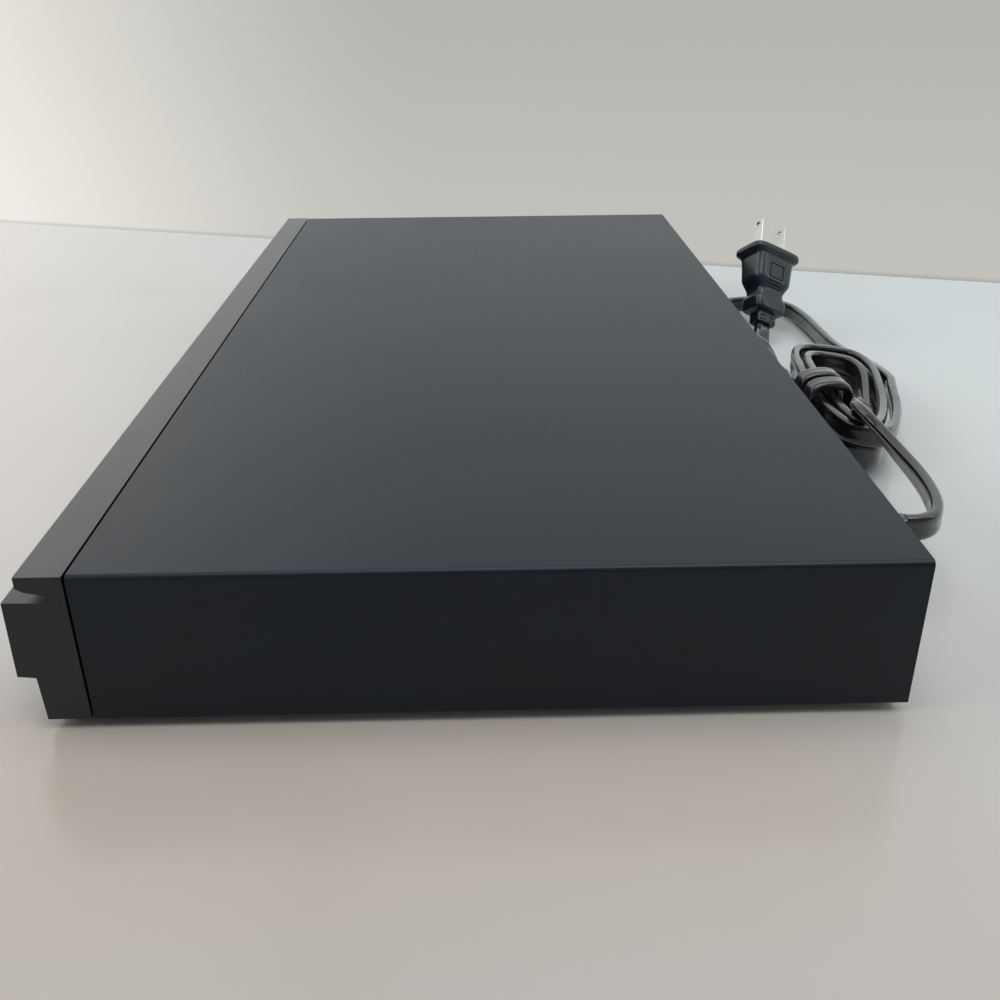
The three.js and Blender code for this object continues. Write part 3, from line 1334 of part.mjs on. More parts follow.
function wrapPoint(share) {
  const angle = THREE.MathUtils.lerp(wrapStartAngle, wrapEndAngle, share);
  const leadIn = wrapLeadIn * Math.max(0, 1 - share / wrapBlendShare) ** 2;
  const leadOut = wrapLeadOut * Math.max(0, 1 - (1 - share) / wrapBlendShare) ** 2;
  return new THREE.Vector3(wrapX, wrapY, wrapZ)
    .addScaledVector(alongX, leadIn - leadOut)
    .addScaledVector(wrapAlong, wrapPitch * wrapTurns * share)
    .addScaledVector(wrapAcross, wrapHalfWidth * signedPower(Math.cos(angle), wrapSquareShare))
    .addScaledVector(up, wrapHalfHeight * signedPower(Math.sin(angle), wrapSquareShare));
}

const wrapSteps = Math.round(wrapTurns * stepsPerLoop);
const wrapPoints = withStraightEnds(
  Array.from({ length: wrapSteps + 1 }, (_, step) => wrapPoint(step / wrapSteps)));
const wrapFrames = woundFrames(wrapPoints, wrapAlong);

// Least gap between wound lengths: points all over one skin are measured against the other's section
function leastGap(skinFrames, otherFrames, stepsApart) {
  const edges = woundSection.map(([u, v], side) => {
    const [nextU, nextV] = woundSection[(side + 1) % woundSection.length];
    const length = Math.hypot(nextU - u, nextV - v);
    return { u, v, outU: (nextV - v) / length, outV: (u - nextU) / length, nextU, nextV };
  });
  const shares = [0, 1 / 4, 1 / 2, 3 / 4];
  let least = Infinity;
  for (let step = 0; step < skinFrames.length - 1; step += 1) {
    for (const share of shares) {
      for (const { u, v, nextU, nextV } of edges) {
        for (const part of [0, 1 / 2]) {
          const corner = [
            THREE.MathUtils.lerp(u, nextU, part), THREE.MathUtils.lerp(v, nextV, part)];
          const point = onFrame(skinFrames[step], corner)
            .lerp(onFrame(skinFrames[step + 1], corner), share);
          least = Math.min(least, gapToTube(point, step + share, otherFrames, edges, stepsApart));
        }
      }
    }
  }
  return least;
}

function gapToTube(point, place, frames, edges, stepsApart) {
  let least = Infinity;
  for (let step = 0; step < frames.length - 1; step += 1) {
    const { centre, across, through } = frames[step];
    const next = frames[step + 1];
    const stretch = next.centre.clone().sub(centre);
    const share = point.clone().sub(centre).dot(stretch) / stretch.lengthSq();
    if (Math.abs(step + 1 / 2 - place) >= stepsApart && share >= 0 && share <= 1) {
      const offset = point.clone().sub(centre).addScaledVector(stretch, -share);
      const offsetU = offset.dot(across.clone().lerp(next.across, share).normalize());
      const offsetV = offset.dot(through.clone().lerp(next.through, share).normalize());
      const gap = Math.max(...edges.map((edge) => (
        edge.outU * (offsetU - edge.u) + edge.outV * (offsetV - edge.v))));
      least = Math.min(least, gap);
    }
  }
  return least;
}

const quarterLoop = stepsPerLoop / 4;
const printGap = (between, gap) => console.log(`Least gap in mm, ${between}: ${gap.toFixed(2)}`);
printGap('hank to itself', leastGap(hankFrames, hankFrames, quarterLoop + 1));
printGap('wraps to themselves', leastGap(wrapFrames, wrapFrames, quarterLoop));
printGap('wraps to hank', leastGap(wrapFrames, hankFrames, 0));

// Free cord: a smooth curve through points, each with its turn in degrees from lying flat
class CordPath extends THREE.CatmullRomCurve3 {
  constructor(route) {
    super(route.map(([x, y, z]) => new THREE.Vector3(x, y, z)), false, 'centripetal');
    this.turns = route.map((stop) => THREE.MathUtils.degToRad(stop[3]));
  }

  turnAt(share) {
    const place = this.getUtoTmapping(share) * (this.turns.length - 1);
    const before = Math.min(Math.floor(place), this.turns.length - 2);
    return THREE.MathUtils.lerp(this.turns[before], this.turns[before + 1], place - before);
  }

  computeFrenetFrames(segments) {
    const tangents = [];
    const normals = [];
    const binormals = [];
    let level = new THREE.Vector3(0, 1, 0);
    for (let segment = 0; segment <= segments; segment += 1) {
      const along = this.getTangentAt(segment / segments);
      level = levelAcross(along, level);
      const turn = this.turnAt(segment / segments);
      const across = level.clone().multiplyScalar(Math.cos(turn))
        .addScaledVector(new THREE.Vector3().crossVectors(level, along), Math.sin(turn));
      tangents.push(along);
      normals.push(across);
      binormals.push(new THREE.Vector3().crossVectors(along, across));
    }
    return { tangents, normals, binormals };
  }
}

// The level direction across a cord; where the cord stands upright, the one before it holds
function levelAcross(along, before) {
  const across = new THREE.Vector3().crossVectors(along, up);
  return across.length() > uprightShare ? across.normalize() : before;
}

const freeTube = (route, steps, section = freeSection) => new THREE.ExtrudeGeometry(
  outline(section), { steps, extrudePath: new CordPath(route) });

// A stop beyond the end of a wound length, in line with it, with the cord's width turned alike
function stopBeyond(frames, atEnd, distance) {
  const frame = atEnd ? frames[frames.length - 1] : frames[0];
  const outwards = atEnd ? 1 : -1;
  const level = levelAcross(frame.along, alongX);
  const lifted = new THREE.Vector3().crossVectors(level, frame.along);
  const turn = THREE.MathUtils.radToDeg(Math.atan2(frame.across.dot(lifted), frame.across.dot(level)));
  const place = frame.centre.clone().addScaledVector(frame.along, outwards * distance);
  return [place.x, place.y, place.z, turn < 0 ? turn + 2 * quarterTurn : turn];
}

// Routes of the free lengths: X, Y, Z and the turn at each stop. The cord is laid out behind one
// place of its exit, and moves with the exit.
const grommetEndY = routeRearY - rearRecess + grommetReach;
const leadRoute = [
  [routeExitX, grommetEndY + cordGap, cordExitZ, 90], [136.9, 113.2, cordExitZ, 90],
  [134.8, 117.3, cordExitZ, 90], [129.6, 120.5, cordExitZ, 92], [121, 122.8, cordExitZ, 96],
  [109, 124.2, cordExitZ, 102], [96, 124, 24.6, 110], [83, 122.5, 26.5, 120], [74, 120.3, 29, 132],
  stopBeyond(wrapFrames, false, cordWidth), stopBeyond(wrapFrames, false, cordGap)];
const farLoopRoute = [
  stopBeyond(wrapFrames, true, cordGap), stopBeyond(wrapFrames, true, cordWidth),
  [-2.6, 108.9, 24.3, 104], [-9.5, 106.7, 25, 99], [-19, 105.2, 22.5, 94], [-36, 105, 14.6, 90],
  [-57, 106, 7.4, 90], [-80, 107, 4.2, 90], [-104, 109.5, 4, 90], [-121, 115, 4, 90],
  [-132, 124, 4, 90], [-135, 135, 4, 90], [-131, 146, 4, 90], [-121, 152.5, 4, 90],
  [-106, 154.8, 4, 90], [-88, 155.3, 4, 90], [-68, 155.5, 4, 90], [-50, 156.3, 5.2, 90],
  [-34, 157, 7.4, 90], [-18, 156.8, 9.8, 90],
  stopBeyond(hankFrames, false, cordWidth), stopBeyond(hankFrames, false, cordGap)];
const plugAxis = new THREE.Vector3(
  Math.sin(plugLean) * Math.cos(plugHeading), Math.sin(plugLean) * Math.sin(plugHeading),
  Math.cos(plugLean));
const belowPlug = (distance, turn) => [
  plugX - plugAxis.x * distance, plugY - plugAxis.y * distance, plugNeckZ - plugAxis.z * distance, turn];
const tailRoute = [
  stopBeyond(hankFrames, true, cordGap), stopBeyond(hankFrames, true, cordWidth),
  [-15, 123.9, 6.2, 84], [-27, 124, 4.9, 66], [-38, 123.2, 3.8, 40], [-49, 122.9, 2.6, 12],
  [-60, 123.9, 2.1, 0], [-71.7, 126.5, 2.4, -6], [-76.8, 127.7, 3.5, -17],
  belowPlug(cordThickness, -28), belowPlug(halfThickness, -33), belowPlug(cordGap, -38.5)];

// A rounded oblong outline, with its corners squared off by a share
function oblong(length, width, z, sides = roundSides) {
  return Array.from({ length: sides }, (_, side) => {
    const angle = 2 * Math.PI * side / sides;
    return new THREE.Vector3(
      length / 2 * signedPower(Math.cos(angle), boxSquareShare),
      width / 2 * signedPower(Math.sin(angle), boxSquareShare), z);
  });
}

// Strain relief: flanged on both sides of the rear panel, with ribs towards the cord
function makeGrommet() {
  const grooveStart = grommetInside + sheet + fitGap;
  const end = grommetInside + sheet + grommetReach;
  const wide = 2 * grommetHalfWidth;
  const high = 2 * grommetHalfHeight;
  const waist = 2 * grommetGroove;
  const rings = [
    [wide - waist, high - waist, 0], [wide - waist, high - waist, grommetInside - fitGap - grommetFlange],
    [wide, high, grommetInside - fitGap - grommetFlange], [wide, high, grommetInside - fitGap],
    [wide - waist, high - waist, grommetInside - fitGap], [wide - waist, high - waist, grooveStart],
    [wide, high, grooveStart], [wide, high, grooveStart + grommetFlange]];
  const ribStart = grooveStart + grommetFlange;
  const ribPitch = (end - ribStart) / (grommetRibCount + 1);
  for (let rib = 0; rib <= grommetRibCount; rib += 1) {
    const from = ribStart + rib * ribPitch;
    const share = rib / grommetRibCount;
    const narrow = waist + 2 * grommetTaper * share;
    rings.push([wide - narrow, high - narrow, from], [wide - narrow, high - narrow, from + ribPitch / 2]);
    if (rib < grommetRibCount) {
      const proud = narrow - 2 * grommetRibDepth;
      rings.push([wide - proud, high - proud, from + ribPitch / 2]);
      rings.push([wide - proud, high - proud, from + ribPitch]);
    } else {
      rings.push([wide - narrow, high - narrow, end]);
    }
  }
  return skin(rings.map(([length, width, z]) => oblong(length, width, z, smallSides)))
    .rotateX(-Math.PI / 2).translate(cordExitX, panelInnerY - grommetInside, cordExitZ);
}

const grommetStartY = panelInnerY - grommetInside;
const connectorTopZ = boardTopZ + connectorHeight;
const powerLeadRoute = [
  [cordExitX, grommetStartY - cordGap, cordExitZ, 0],
  [cordExitX, grommetStartY - leadDrop / 2, cordExitZ, 0],
  [cordExitX, connectorY + leadDrop / 2, cordExitZ - leadThickness, 0],
  [cordExitX, connectorY, connectorTopZ + leadThickness, 0],
  [cordExitX, connectorY, connectorTopZ + 2 * cordGap, 0]];
const leadSection = freeSection.map(
  ([u, v]) => [u * leadWidth / cordWidth, v * leadThickness / cordThickness]);

// Plug: flat two-pin, leaning back on its cord; made upright from the tip of its neck, then placed
const placePlug = (geometry) => geometry.rotateZ(plugTurn - plugHeading).rotateY(plugLean)
  .rotateZ(plugHeading).translate(plugX, plugY, plugNeckZ);

function bladeSlot(side, width) {
  const x = side * bladeSpacing / 2;
  const reachX = bladeThickness / 2 + fitGap;
  const reachY = width / 2 + fitGap;
  return block(
    x - reachX, x + reachX, -reachY, reachY, plugHeight - bladeSeatDepth, plugHeight + overrun);
}

function makePlugBody() {
  const flangeBottomZ = plugHeight - plugFlangeThickness;
  const bodyTopZ = flangeBottomZ - plugFlangeBevel;
  const collarTopZ = plugNeckReach + plugCollarHeight;
  const waistZ = collarTopZ + bendRadius;
  const rings = [
    [plugNeckLength, plugNeckWidth, 0],
    [plugNeckLength, plugNeckWidth, plugNeckReach],
    [plugCollarLength, plugCollarWidth, plugNeckReach + bendRadius],
    [plugCollarLength, plugCollarWidth, collarTopZ],
    [plugWaistLength, plugWaistWidth, waistZ],
    [plugWaistLength, plugWaistWidth, waistZ + bendRadius],
    [(plugWaistLength + plugBodyLength) / 2, (plugWaistWidth + plugBodyWidth) / 2,
      waistZ + plugWaistHeight / 2],
    [plugBodyLength, plugBodyWidth, waistZ + plugWaistHeight],
    [plugBodyLength + bendRadius, plugBodyWidth + bendRadius, bodyTopZ],
    [plugFlangeLength, plugFlangeWidth, flangeBottomZ],
    [plugFlangeLength, plugFlangeWidth, plugHeight - plugFlangeThickness / 3],
    [plugFlangeLength - bendRadius, plugFlangeWidth - bendRadius, plugHeight]];
  const body = skin(rings.map(([length, width, z]) => oblong(length, width, z)));
  return placePlug(cut(body, bladeSlot(-1, wideBladeWidth), bladeSlot(1, bladeWidth)));
}

function makeBlade(side, width) {
  const half = width / 2;
  const bottomZ = plugHeight - bladeSeatDepth + fitGap;
  const tipZ = plugHeight + bladeLength;
  const section = outline([
    [-half, bottomZ], [half, bottomZ], [half, tipZ - bladeTipChamfer], [half - bladeTipChamfer, tipZ],
    [-half + bladeTipChamfer, tipZ], [-half, tipZ - bladeTipChamfer]]);
  const x = side * bladeSpacing / 2;
  const blade = prismX(section, x - bladeThickness / 2, x + bladeThickness / 2);
  const hole = rodXAxis(0, tipZ - bladeHoleFromTip, bladeHoleRadius,
    x - bladeThickness - overrun, x + bladeThickness + overrun, smallSides);
  return placePlug(cut(blade, hole));
}

// Assembly
const cordSteps = { lead: 18, farLoop: 36, tail: 24, powerLead: 8 };

const casing = new THREE.Group();
player.add(casing);
add('top_cover', makeCover(), finishes.powderCoat, casing);
add('bottom_chassis', makeChassis(), finishes.zincSteel, casing);
add('rear_panel', makeRearPanel(), finishes.powderCoat, casing);
const footPlaces = {
  foot_front_left: [-1, frontY + footInsetFront], foot_front_right: [1, frontY + footInsetFront],
  foot_rear_left: [-1, rearY - footInsetRear], foot_rear_right: [1, rearY - footInsetRear] };
for (const [name, [side, y]] of Object.entries(footPlaces)) {
  add(name, makeFoot(side * (halfWidth - footInsetX), y), finishes.rubber, casing);
}
screwXs.forEach((x, index) => {
  add(`rear_screw_${index + 1}`, makeRearScrew(x), finishes.zincSteel, casing);
});

const front = new THREE.Group();
player.add(front);
add('front_bezel', makeBezel(), finishes.blackPlastic, front);
add('display_window', makeWindow(), finishes.glossPlastic, front);
add('usb_flap', makeFlap(), finishes.blackPlastic, front);
add('power_button', makePowerKey(), finishes.blackPlastic, front);
for (const [name, x] of Object.entries(buttonXs)) {
  add(`${name}_button`, makeKey(x), finishes.blackPlastic, front);
}
add('front_board', makeFrontBoard(), finishes.circuitBoard, front);
add('display_module', makeDisplay(), finishes.glossPlastic, front);
add('usb_port', makeUsbPort(), finishes.brightSteel, front);
add('front_ribbon', makeFrontRibbon(), finishes.flatCable, front);

const loader = new THREE.Group();
player.add(loader);
add('loader_frame', makeFrame(), finishes.blackPlastic, loader);
add('clamp_bridge', makeBridge(), finishes.zincSteel, loader);
add('clamp_puck', makePuck(), finishes.greyPlastic, loader);
add('disc_tray', makeTray(), finishes.blackPlastic, loader);
add('tray_door', makeDoor(), finishes.blackPlastic, loader);
add('loading_motor', makeLoadMotor(), finishes.zincSteel, loader);
add('motor_pulley', makeMotorPulley(), finishes.brass, loader);
add('drive_belt', makeBelt(), finishes.rubber, loader);
add('pulley_gear', makePulleyGear(), finishes.whitePlastic, loader);
add('tray_gear', makeTrayGear(), finishes.whitePlastic, loader);
add('cam_slider', makeCamSlider(), finishes.whitePlastic, loader);

const deck = new THREE.Group();
player.add(deck);
add('traverse_deck', makeDeck(), finishes.zincSteel, deck);
add('spindle_motor', makeSpindleMotor(), finishes.zincSteel, deck);
add('turntable', makeTurntable(), finishes.greyPlastic, deck);
add('guide_rod_left', makeRod(rodXs[0]), finishes.brightSteel, deck);
add('guide_rod_right', makeRod(rodXs[1]), finishes.brightSteel, deck);
add('pickup_sled', makeSled(), finishes.blackPlastic, deck);
add('objective_lens', makeLens(), finishes.lensGlass, deck);
add('sled_motor', makeSledMotor(), finishes.zincSteel, deck);
add('lead_screw', makeLeadScrew(), finishes.brightSteel, deck);

const electronics = new THREE.Group();
player.add(electronics);
add('main_board', makeMainBoard(), finishes.circuitBoard, electronics);
add('main_heatsink', makeHeatsink(), finishes.aluminium, electronics);
add('lan_port', makeLanPort(), finishes.brightSteel, electronics);
add('hdmi_port', makeHdmiPort(), finishes.brightSteel, electronics);
add('power_board', makePowerBoard(), finishes.brownBoard, electronics);
add('transformer', makeTransformer(), finishes.greyPlastic, electronics);
add('mains_capacitor', makeCapacitor(), finishes.capacitorSleeve, electronics);
add('drive_ribbon', makeDriveRibbon(), finishes.flatCable, electronics);
const powerLeads = freeTube(powerLeadRoute, cordSteps.powerLead, leadSection);
add('power_leads', powerLeads, finishes.whitePlastic, electronics);

add('cord_grommet', makeGrommet(), finishes.cordJacket, casing);
const cord = new THREE.Group();
cord.position.set(cordExitX - routeExitX, rearY - routeRearY, 0);
player.add(cord);
add('cord_lead', freeTube(leadRoute, cordSteps.lead), finishes.cordJacket, cord);
add('cord_wraps', woundTube(wrapFrames), finishes.cordJacket, cord);
add('cord_far_loop', freeTube(farLoopRoute, cordSteps.farLoop), finishes.cordJacket, cord);
add('cord_hank', woundTube(hankFrames), finishes.cordJacket, cord);
add('cord_tail', freeTube(tailRoute, cordSteps.tail), finishes.cordJacket, cord);
add('plug_body', makePlugBody(), finishes.plugJacket, cord);
add('plug_blade_left', makeBlade(-1, wideBladeWidth), finishes.brightSteel, cord);
add('plug_blade_right', makeBlade(1, bladeWidth), finishes.brightSteel, cord);

export default player;
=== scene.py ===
"""Looks of a slim disc player: finishes, eased edges, small parts and its flat mains cord.

Shapes are in millimetres; finishes, lamps, camera and stage are in metres. +Z is up and the front
faces -Y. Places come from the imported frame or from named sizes.
"""

import json
import logging
import math
import random
from collections.abc import Sequence
from dataclasses import dataclass
from enum import Enum
from functools import cache

import bmesh
import bpy
from mathutils import Matrix, Vector


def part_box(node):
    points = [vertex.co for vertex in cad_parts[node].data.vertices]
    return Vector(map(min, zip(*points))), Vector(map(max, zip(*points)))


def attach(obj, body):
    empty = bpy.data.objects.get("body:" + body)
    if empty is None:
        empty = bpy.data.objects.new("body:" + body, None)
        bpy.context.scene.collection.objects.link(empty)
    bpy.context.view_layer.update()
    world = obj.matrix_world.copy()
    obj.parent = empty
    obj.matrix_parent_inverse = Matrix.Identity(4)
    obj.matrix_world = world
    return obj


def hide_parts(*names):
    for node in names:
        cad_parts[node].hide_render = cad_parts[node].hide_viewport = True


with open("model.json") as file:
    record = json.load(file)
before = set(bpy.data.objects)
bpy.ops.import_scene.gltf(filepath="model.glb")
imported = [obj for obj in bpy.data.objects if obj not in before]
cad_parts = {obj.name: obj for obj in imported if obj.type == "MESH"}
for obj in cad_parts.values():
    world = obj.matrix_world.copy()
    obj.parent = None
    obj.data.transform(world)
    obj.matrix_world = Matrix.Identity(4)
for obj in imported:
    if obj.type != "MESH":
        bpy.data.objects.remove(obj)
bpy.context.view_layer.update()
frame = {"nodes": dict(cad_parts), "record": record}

MM = 0.001
FULL_TURN = 2 * math.pi
SHARP_TURN = 35
log = logging.getLogger("disc_player")

Colour = tuple[float, float, float]
Point = tuple[float, float, float]
Pair = tuple[float, float]
Profile = Sequence[Pair]


class Value:
    """A number that varies over a surface; Python's operators add Math nodes to its material."""

    def __init__(self, shader: "Shader", socket: bpy.types.NodeSocket) -> None:
        """Keep the material under construction and the output socket."""
        self.shader = shader
        self.socket = socket

    def math(self, operation: str, *others: "float | Value") -> "Value":
        """Add a Math node that takes this value first."""
        return self.shader.node("Math", {"operation": operation}, [self, *others])

    def __add__(self, other: "float | Value") -> "Value":
        """Sum."""
        return self.math("ADD", other)

    __radd__ = __add__

    def __mul__(self, other: "float | Value") -> "Value":
        """Product."""
        return self.math("MULTIPLY", other)

    __rmul__ = __mul__

    def __sub__(self, other: "float | Value") -> "Value":
        """Difference, with this value first."""
        return self.math("SUBTRACT", other)

    def __rsub__(self, other: float) -> "Value":
        """Difference, with this value last."""
        return self.shader.node("Math", {"operation": "SUBTRACT"}, [other, self])

    def rise(self, low: float, high: float) -> "Value":
        """A smooth step from 0 at low to 1 at high, or down where low is the larger.

        Args:
            low: the value at which the result is 0.
            high: the value at which the result is 1.

        Returns:
            The stepped value.
        """
        inputs = {"Value": self, "From Min": min(low, high), "From Max": max(low, high)}
        step = self.shader.node("MapRange", {"interpolation_type": "SMOOTHSTEP"}, inputs)
        return step if low < high else 1 - step


class Shader:
    """A material under construction, with its nodes made from Python calls."""

    def __init__(self, name: str) -> None:
        """Make an empty material with one Principled shader.

        Args:
            name: the material's name.
        """
        self.material = bpy.data.materials.new(name)
        self.material.use_nodes = True
        self.tree = self.material.node_tree
        self.tree.nodes.clear()
        self.body = self.tree.nodes.new("ShaderNodeBsdfPrincipled")
        self.output = self.tree.nodes.new("ShaderNodeOutputMaterial")
        self.tree.links.new(self.body.outputs[0], self.output.inputs["Surface"])
        self.place = self.node("TexCoord", output="Object")

    def feed(self, socket: bpy.types.NodeSocket, given: "float | Sequence | Value") -> None:
        """Link a value to a socket, or set a number or a colour on it.

        Args:
            socket: the input.
            given: the value, number or colour.
        """
        if isinstance(given, Value):
            self.tree.links.new(given.socket, socket)
        elif socket.type == "RGBA":
            socket.default_value = (*given, 1)
        else:
            socket.default_value = given

    def node(
        self,
        kind: str,
        settings: dict | None = None,
        inputs: "dict | Sequence | None" = None,
        output: int | str = 0,
    ) -> Value:
        """Add a node.

        Args:
            kind: the node's type, without its ShaderNode prefix.
            settings: properties set first; "stops" holds a ramp's places and colours.
            inputs: values or links for the sockets, by name or index.
            output: the output that the caller uses.

        Returns:
            That output, as a value.
        """
        made = self.tree.nodes.new("ShaderNode" + kind)
        for key, setting in (settings or {}).items():
            if key == "stops":
                elements = made.color_ramp.elements
                while len(elements) < len(setting):
                    elements.new(1)
                for element, (position, colour) in zip(elements, setting):
                    element.position = position
                    element.color = (*colour, 1)
            else:
                setattr(made, key, setting)
        pairs = inputs.items() if isinstance(inputs, dict) else enumerate(inputs or [])
        for key, given in pairs:
            self.feed(made.inputs[key], given)
        return Value(self, made.outputs[output])

    def stretched(self, stretch: Point) -> Value:
        """Places, scaled along each axis."""
        return self.node("VectorMath", {"operation": "MULTIPLY"}, [self.place, stretch])

    def noise(self, per_metre: float, stretch: Point = (1, 1, 1), detail: float = 2) -> Value:
        """Soft cloudy variation.

        Args:
            per_metre: how many clouds there are in a metre.
            stretch: scale along each axis; a small number draws the clouds out.
            detail: how many finer layers are added.

        Returns:
            A value round 0.5.
        """
        inputs = {"Vector": self.stretched(stretch), "Scale": per_metre, "Detail": detail}
        return self.node("TexNoise", None, inputs)

    def cells(self, per_metre: float, output: str = "Distance", feature: str = "F1") -> Value:
        """Scattered cells: the distance to the nearest one's middle, or its colour."""
        inputs = {"Vector": self.place, "Scale": per_metre}
        return self.node("TexVoronoi", {"feature": feature}, inputs, output)

    def along(self, axis: str) -> Value:
        """The place along X, Y or Z, in metres."""
        return self.node("SeparateXYZ", None, [self.place], axis)

    def blend(self, share: "float | Value", first: "Colour | Value", second: "Colour | Value") -> Value:
        """Mix two colours by a share of the second."""
        settings = {"data_type": "RGBA", "clamp_factor": True}
        return self.node("Mix", settings, {0: share, 6: first, 7: second}, 2)

    def bump(self, height: Value, depth: float, strength: float = 1) -> Value:
        """A normal from a height of 0 to 1 and its real depth in metres."""
        inputs = {"Strength": strength, "Distance": depth, "Height": height}
        return self.node("Bump", None, inputs, "Normal")

    def dress(self, **sockets: "float | Sequence | Value") -> None:
        """Feed the Principled shader; a socket's name is written in lower case with underscores."""
        for name, given in sockets.items():
            self.feed(self.body.inputs[name.replace("_", " ").title().replace("Ior", "IOR")], given)


@dataclass(frozen=True)
class Finish:
    """A surface finish, with its main colour and roughness."""

    name: str
    colour: Colour
    roughness: float

    def shade(self, amount: float) -> Colour:
        """The main colour, lighter or darker."""
        red, green, blue = self.colour
        return (red * amount, green * amount, blue * amount)

    def mottle(self, shader: Shader, value: Value, least: float, most: float) -> Value:
        """The main colour, varied by a value between two shades of it."""
        return shader.blend(value.rise(0.3, 0.7), self.shade(least), self.shade(most))

    def paint(self, shader: Shader) -> None:
        """Build the material's nodes."""
        raise NotImplementedError


@dataclass(frozen=True)
class PowderCoat(Finish):
    """Satin powder coat on sheet steel: fine orange peel, faint rubbed streaks, a little dust."""

    grain_per_m: float = 1700
    peel_depth: float = 14e-6
    dust: Colour = (0.14, 0.14, 0.135)
    shine: float = 0.33

    def paint(self, shader: Shader) -> None:
        """Build the material's nodes.

        Args:
            shader: the material under construction.
        """
        broad = shader.noise(16, detail=3)
        grain = shader.noise(self.grain_per_m)
        peel = shader.noise(self.grain_per_m / 3)
        rubbed = shader.noise(26, stretch=(1, 9, 9), detail=4)
        tone = broad * 0.6 + rubbed * 0.4
        base = self.mottle(shader, tone, 0.82, 1.22)
        upward = shader.node("SeparateXYZ", None, [shader.node("NewGeometry", output="Normal")], "Z")
        specks = shader.cells(240).rise(0.075, 0.035) * shader.noise(30).rise(0.5, 0.66)
        base = shader.blend(specks * upward.rise(0.6, 0.95) * 0.5, base, self.dust)
        shader.dress(
            base_color=base,
            roughness=self.roughness + 0.1 * (tone - 0.5) + 0.08 * (grain - 0.5),
            specular_ior_level=self.shine,
            normal=shader.bump(grain * 0.45 + peel * 0.55, self.peel_depth),
        )


@dataclass(frozen=True)
class MouldedPlastic(Finish):
    """Injection-moulded plastic with a fine eroded texture."""

    grain_per_m: float = 1500
    grain_depth: float = 12e-6
    gloss: float = 0

    def paint(self, shader: Shader) -> None:
        """Build the material's nodes.

        Args:
            shader: the material under construction.
        """
        broad = shader.noise(22, detail=3)
        grain = shader.noise(self.grain_per_m, detail=3)
        pits = shader.cells(self.grain_per_m / 2)
        handled = shader.noise(45, stretch=(1, 3, 3), detail=3).rise(0.52, 0.74)
        base = self.mottle(shader, broad, 0.86, 1.16)
        shader.dress(
            base_color=shader.blend(handled * 0.3, base, self.shade(1.5)),
            roughness=self.roughness + 0.08 * (grain - 0.5) - 0.035 * handled,
            normal=shader.bump(grain * 0.6 + pits * 0.4, self.grain_depth),
            specular_ior_level=0.4,
            coat_roughness=0.3,
            coat_weight=self.gloss * (1.1 - 0.2 * broad) if self.gloss else 0,
        )


@dataclass(frozen=True)
class GlossPlastic(Finish):
    """Polished plastic with faint smudges, fine scratches and a slight waviness."""

    def paint(self, shader: Shader) -> None:
        """Build the material's nodes.

        Args:
            shader: the material under construction.
        """
        smudge = shader.noise(38, detail=4).rise(0.5, 0.72)
        scratches = shader.noise(420, stretch=(0.08, 1, 1), detail=2).rise(0.62, 0.7)
        base = shader.blend(smudge, self.shade(0.9), self.shade(1.35))
        shader.dress(
            base_color=base,
            roughness=self.roughness + 0.16 * smudge + 0.1 * scratches,
            normal=shader.bump(shader.noise(60), 16e-6),
            coat_roughness=0.04,
            coat_weight=0.4 - 0.2 * smudge,
        )


@dataclass(frozen=True)
class Metal(Finish):
    """Bare or plated metal with fine lines along one direction, stains and small marks."""

    lines: Point = (0.05, 1, 1)
    lines_per_m: float = 2400
    line_depth: float = 3e-6
    stain: float = 0.75

    def paint(self, shader: Shader) -> None:
        """Build the material's nodes.

        Args:
            shader: the material under construction.
        """
        lines = shader.noise(self.lines_per_m, stretch=self.lines, detail=3)
        cloud = shader.noise(70, detail=4)
        marks = shader.cells(330).rise(0.07, 0.03) * cloud.rise(0.5, 0.7)
        base = shader.blend(cloud.rise(0.35, 0.7), self.colour, self.shade(self.stain))
        shader.dress(
            base_color=shader.blend(marks * 0.6, base, self.shade(self.stain * 0.7)),
            metallic=1.0,
            roughness=self.roughness + 0.16 * (cloud - 0.5) + 0.2 * (lines - 0.5) + 0.2 * marks,
            normal=shader.bump(lines, self.line_depth),
        )


@dataclass(frozen=True)
class ZincPlate(Metal):
    """Zinc-coated steel with flat crystals that differ a little in tone."""

    crystals_per_m: float = 170

    def paint(self, shader: Shader) -> None:
        """Build the material's nodes.

        Args:
            shader: the material under construction.
        """
        crystal = shader.cells(self.crystals_per_m, "Color")
        tone = shader.node("SeparateColor", None, [crystal], "Red")
        cloud = shader.noise(50, detail=3)
        lines = shader.noise(self.lines_per_m, stretch=self.lines)
        base = shader.blend(tone * 0.6 + cloud * 0.4, self.colour, self.shade(self.stain))
        shader.dress(
            base_color=base,
            metallic=1.0,
            roughness=self.roughness + 0.14 * (tone - 0.5) + 0.1 * (cloud - 0.5),
            normal=shader.bump(lines * 0.5 + tone * 0.5, self.line_depth),
        )


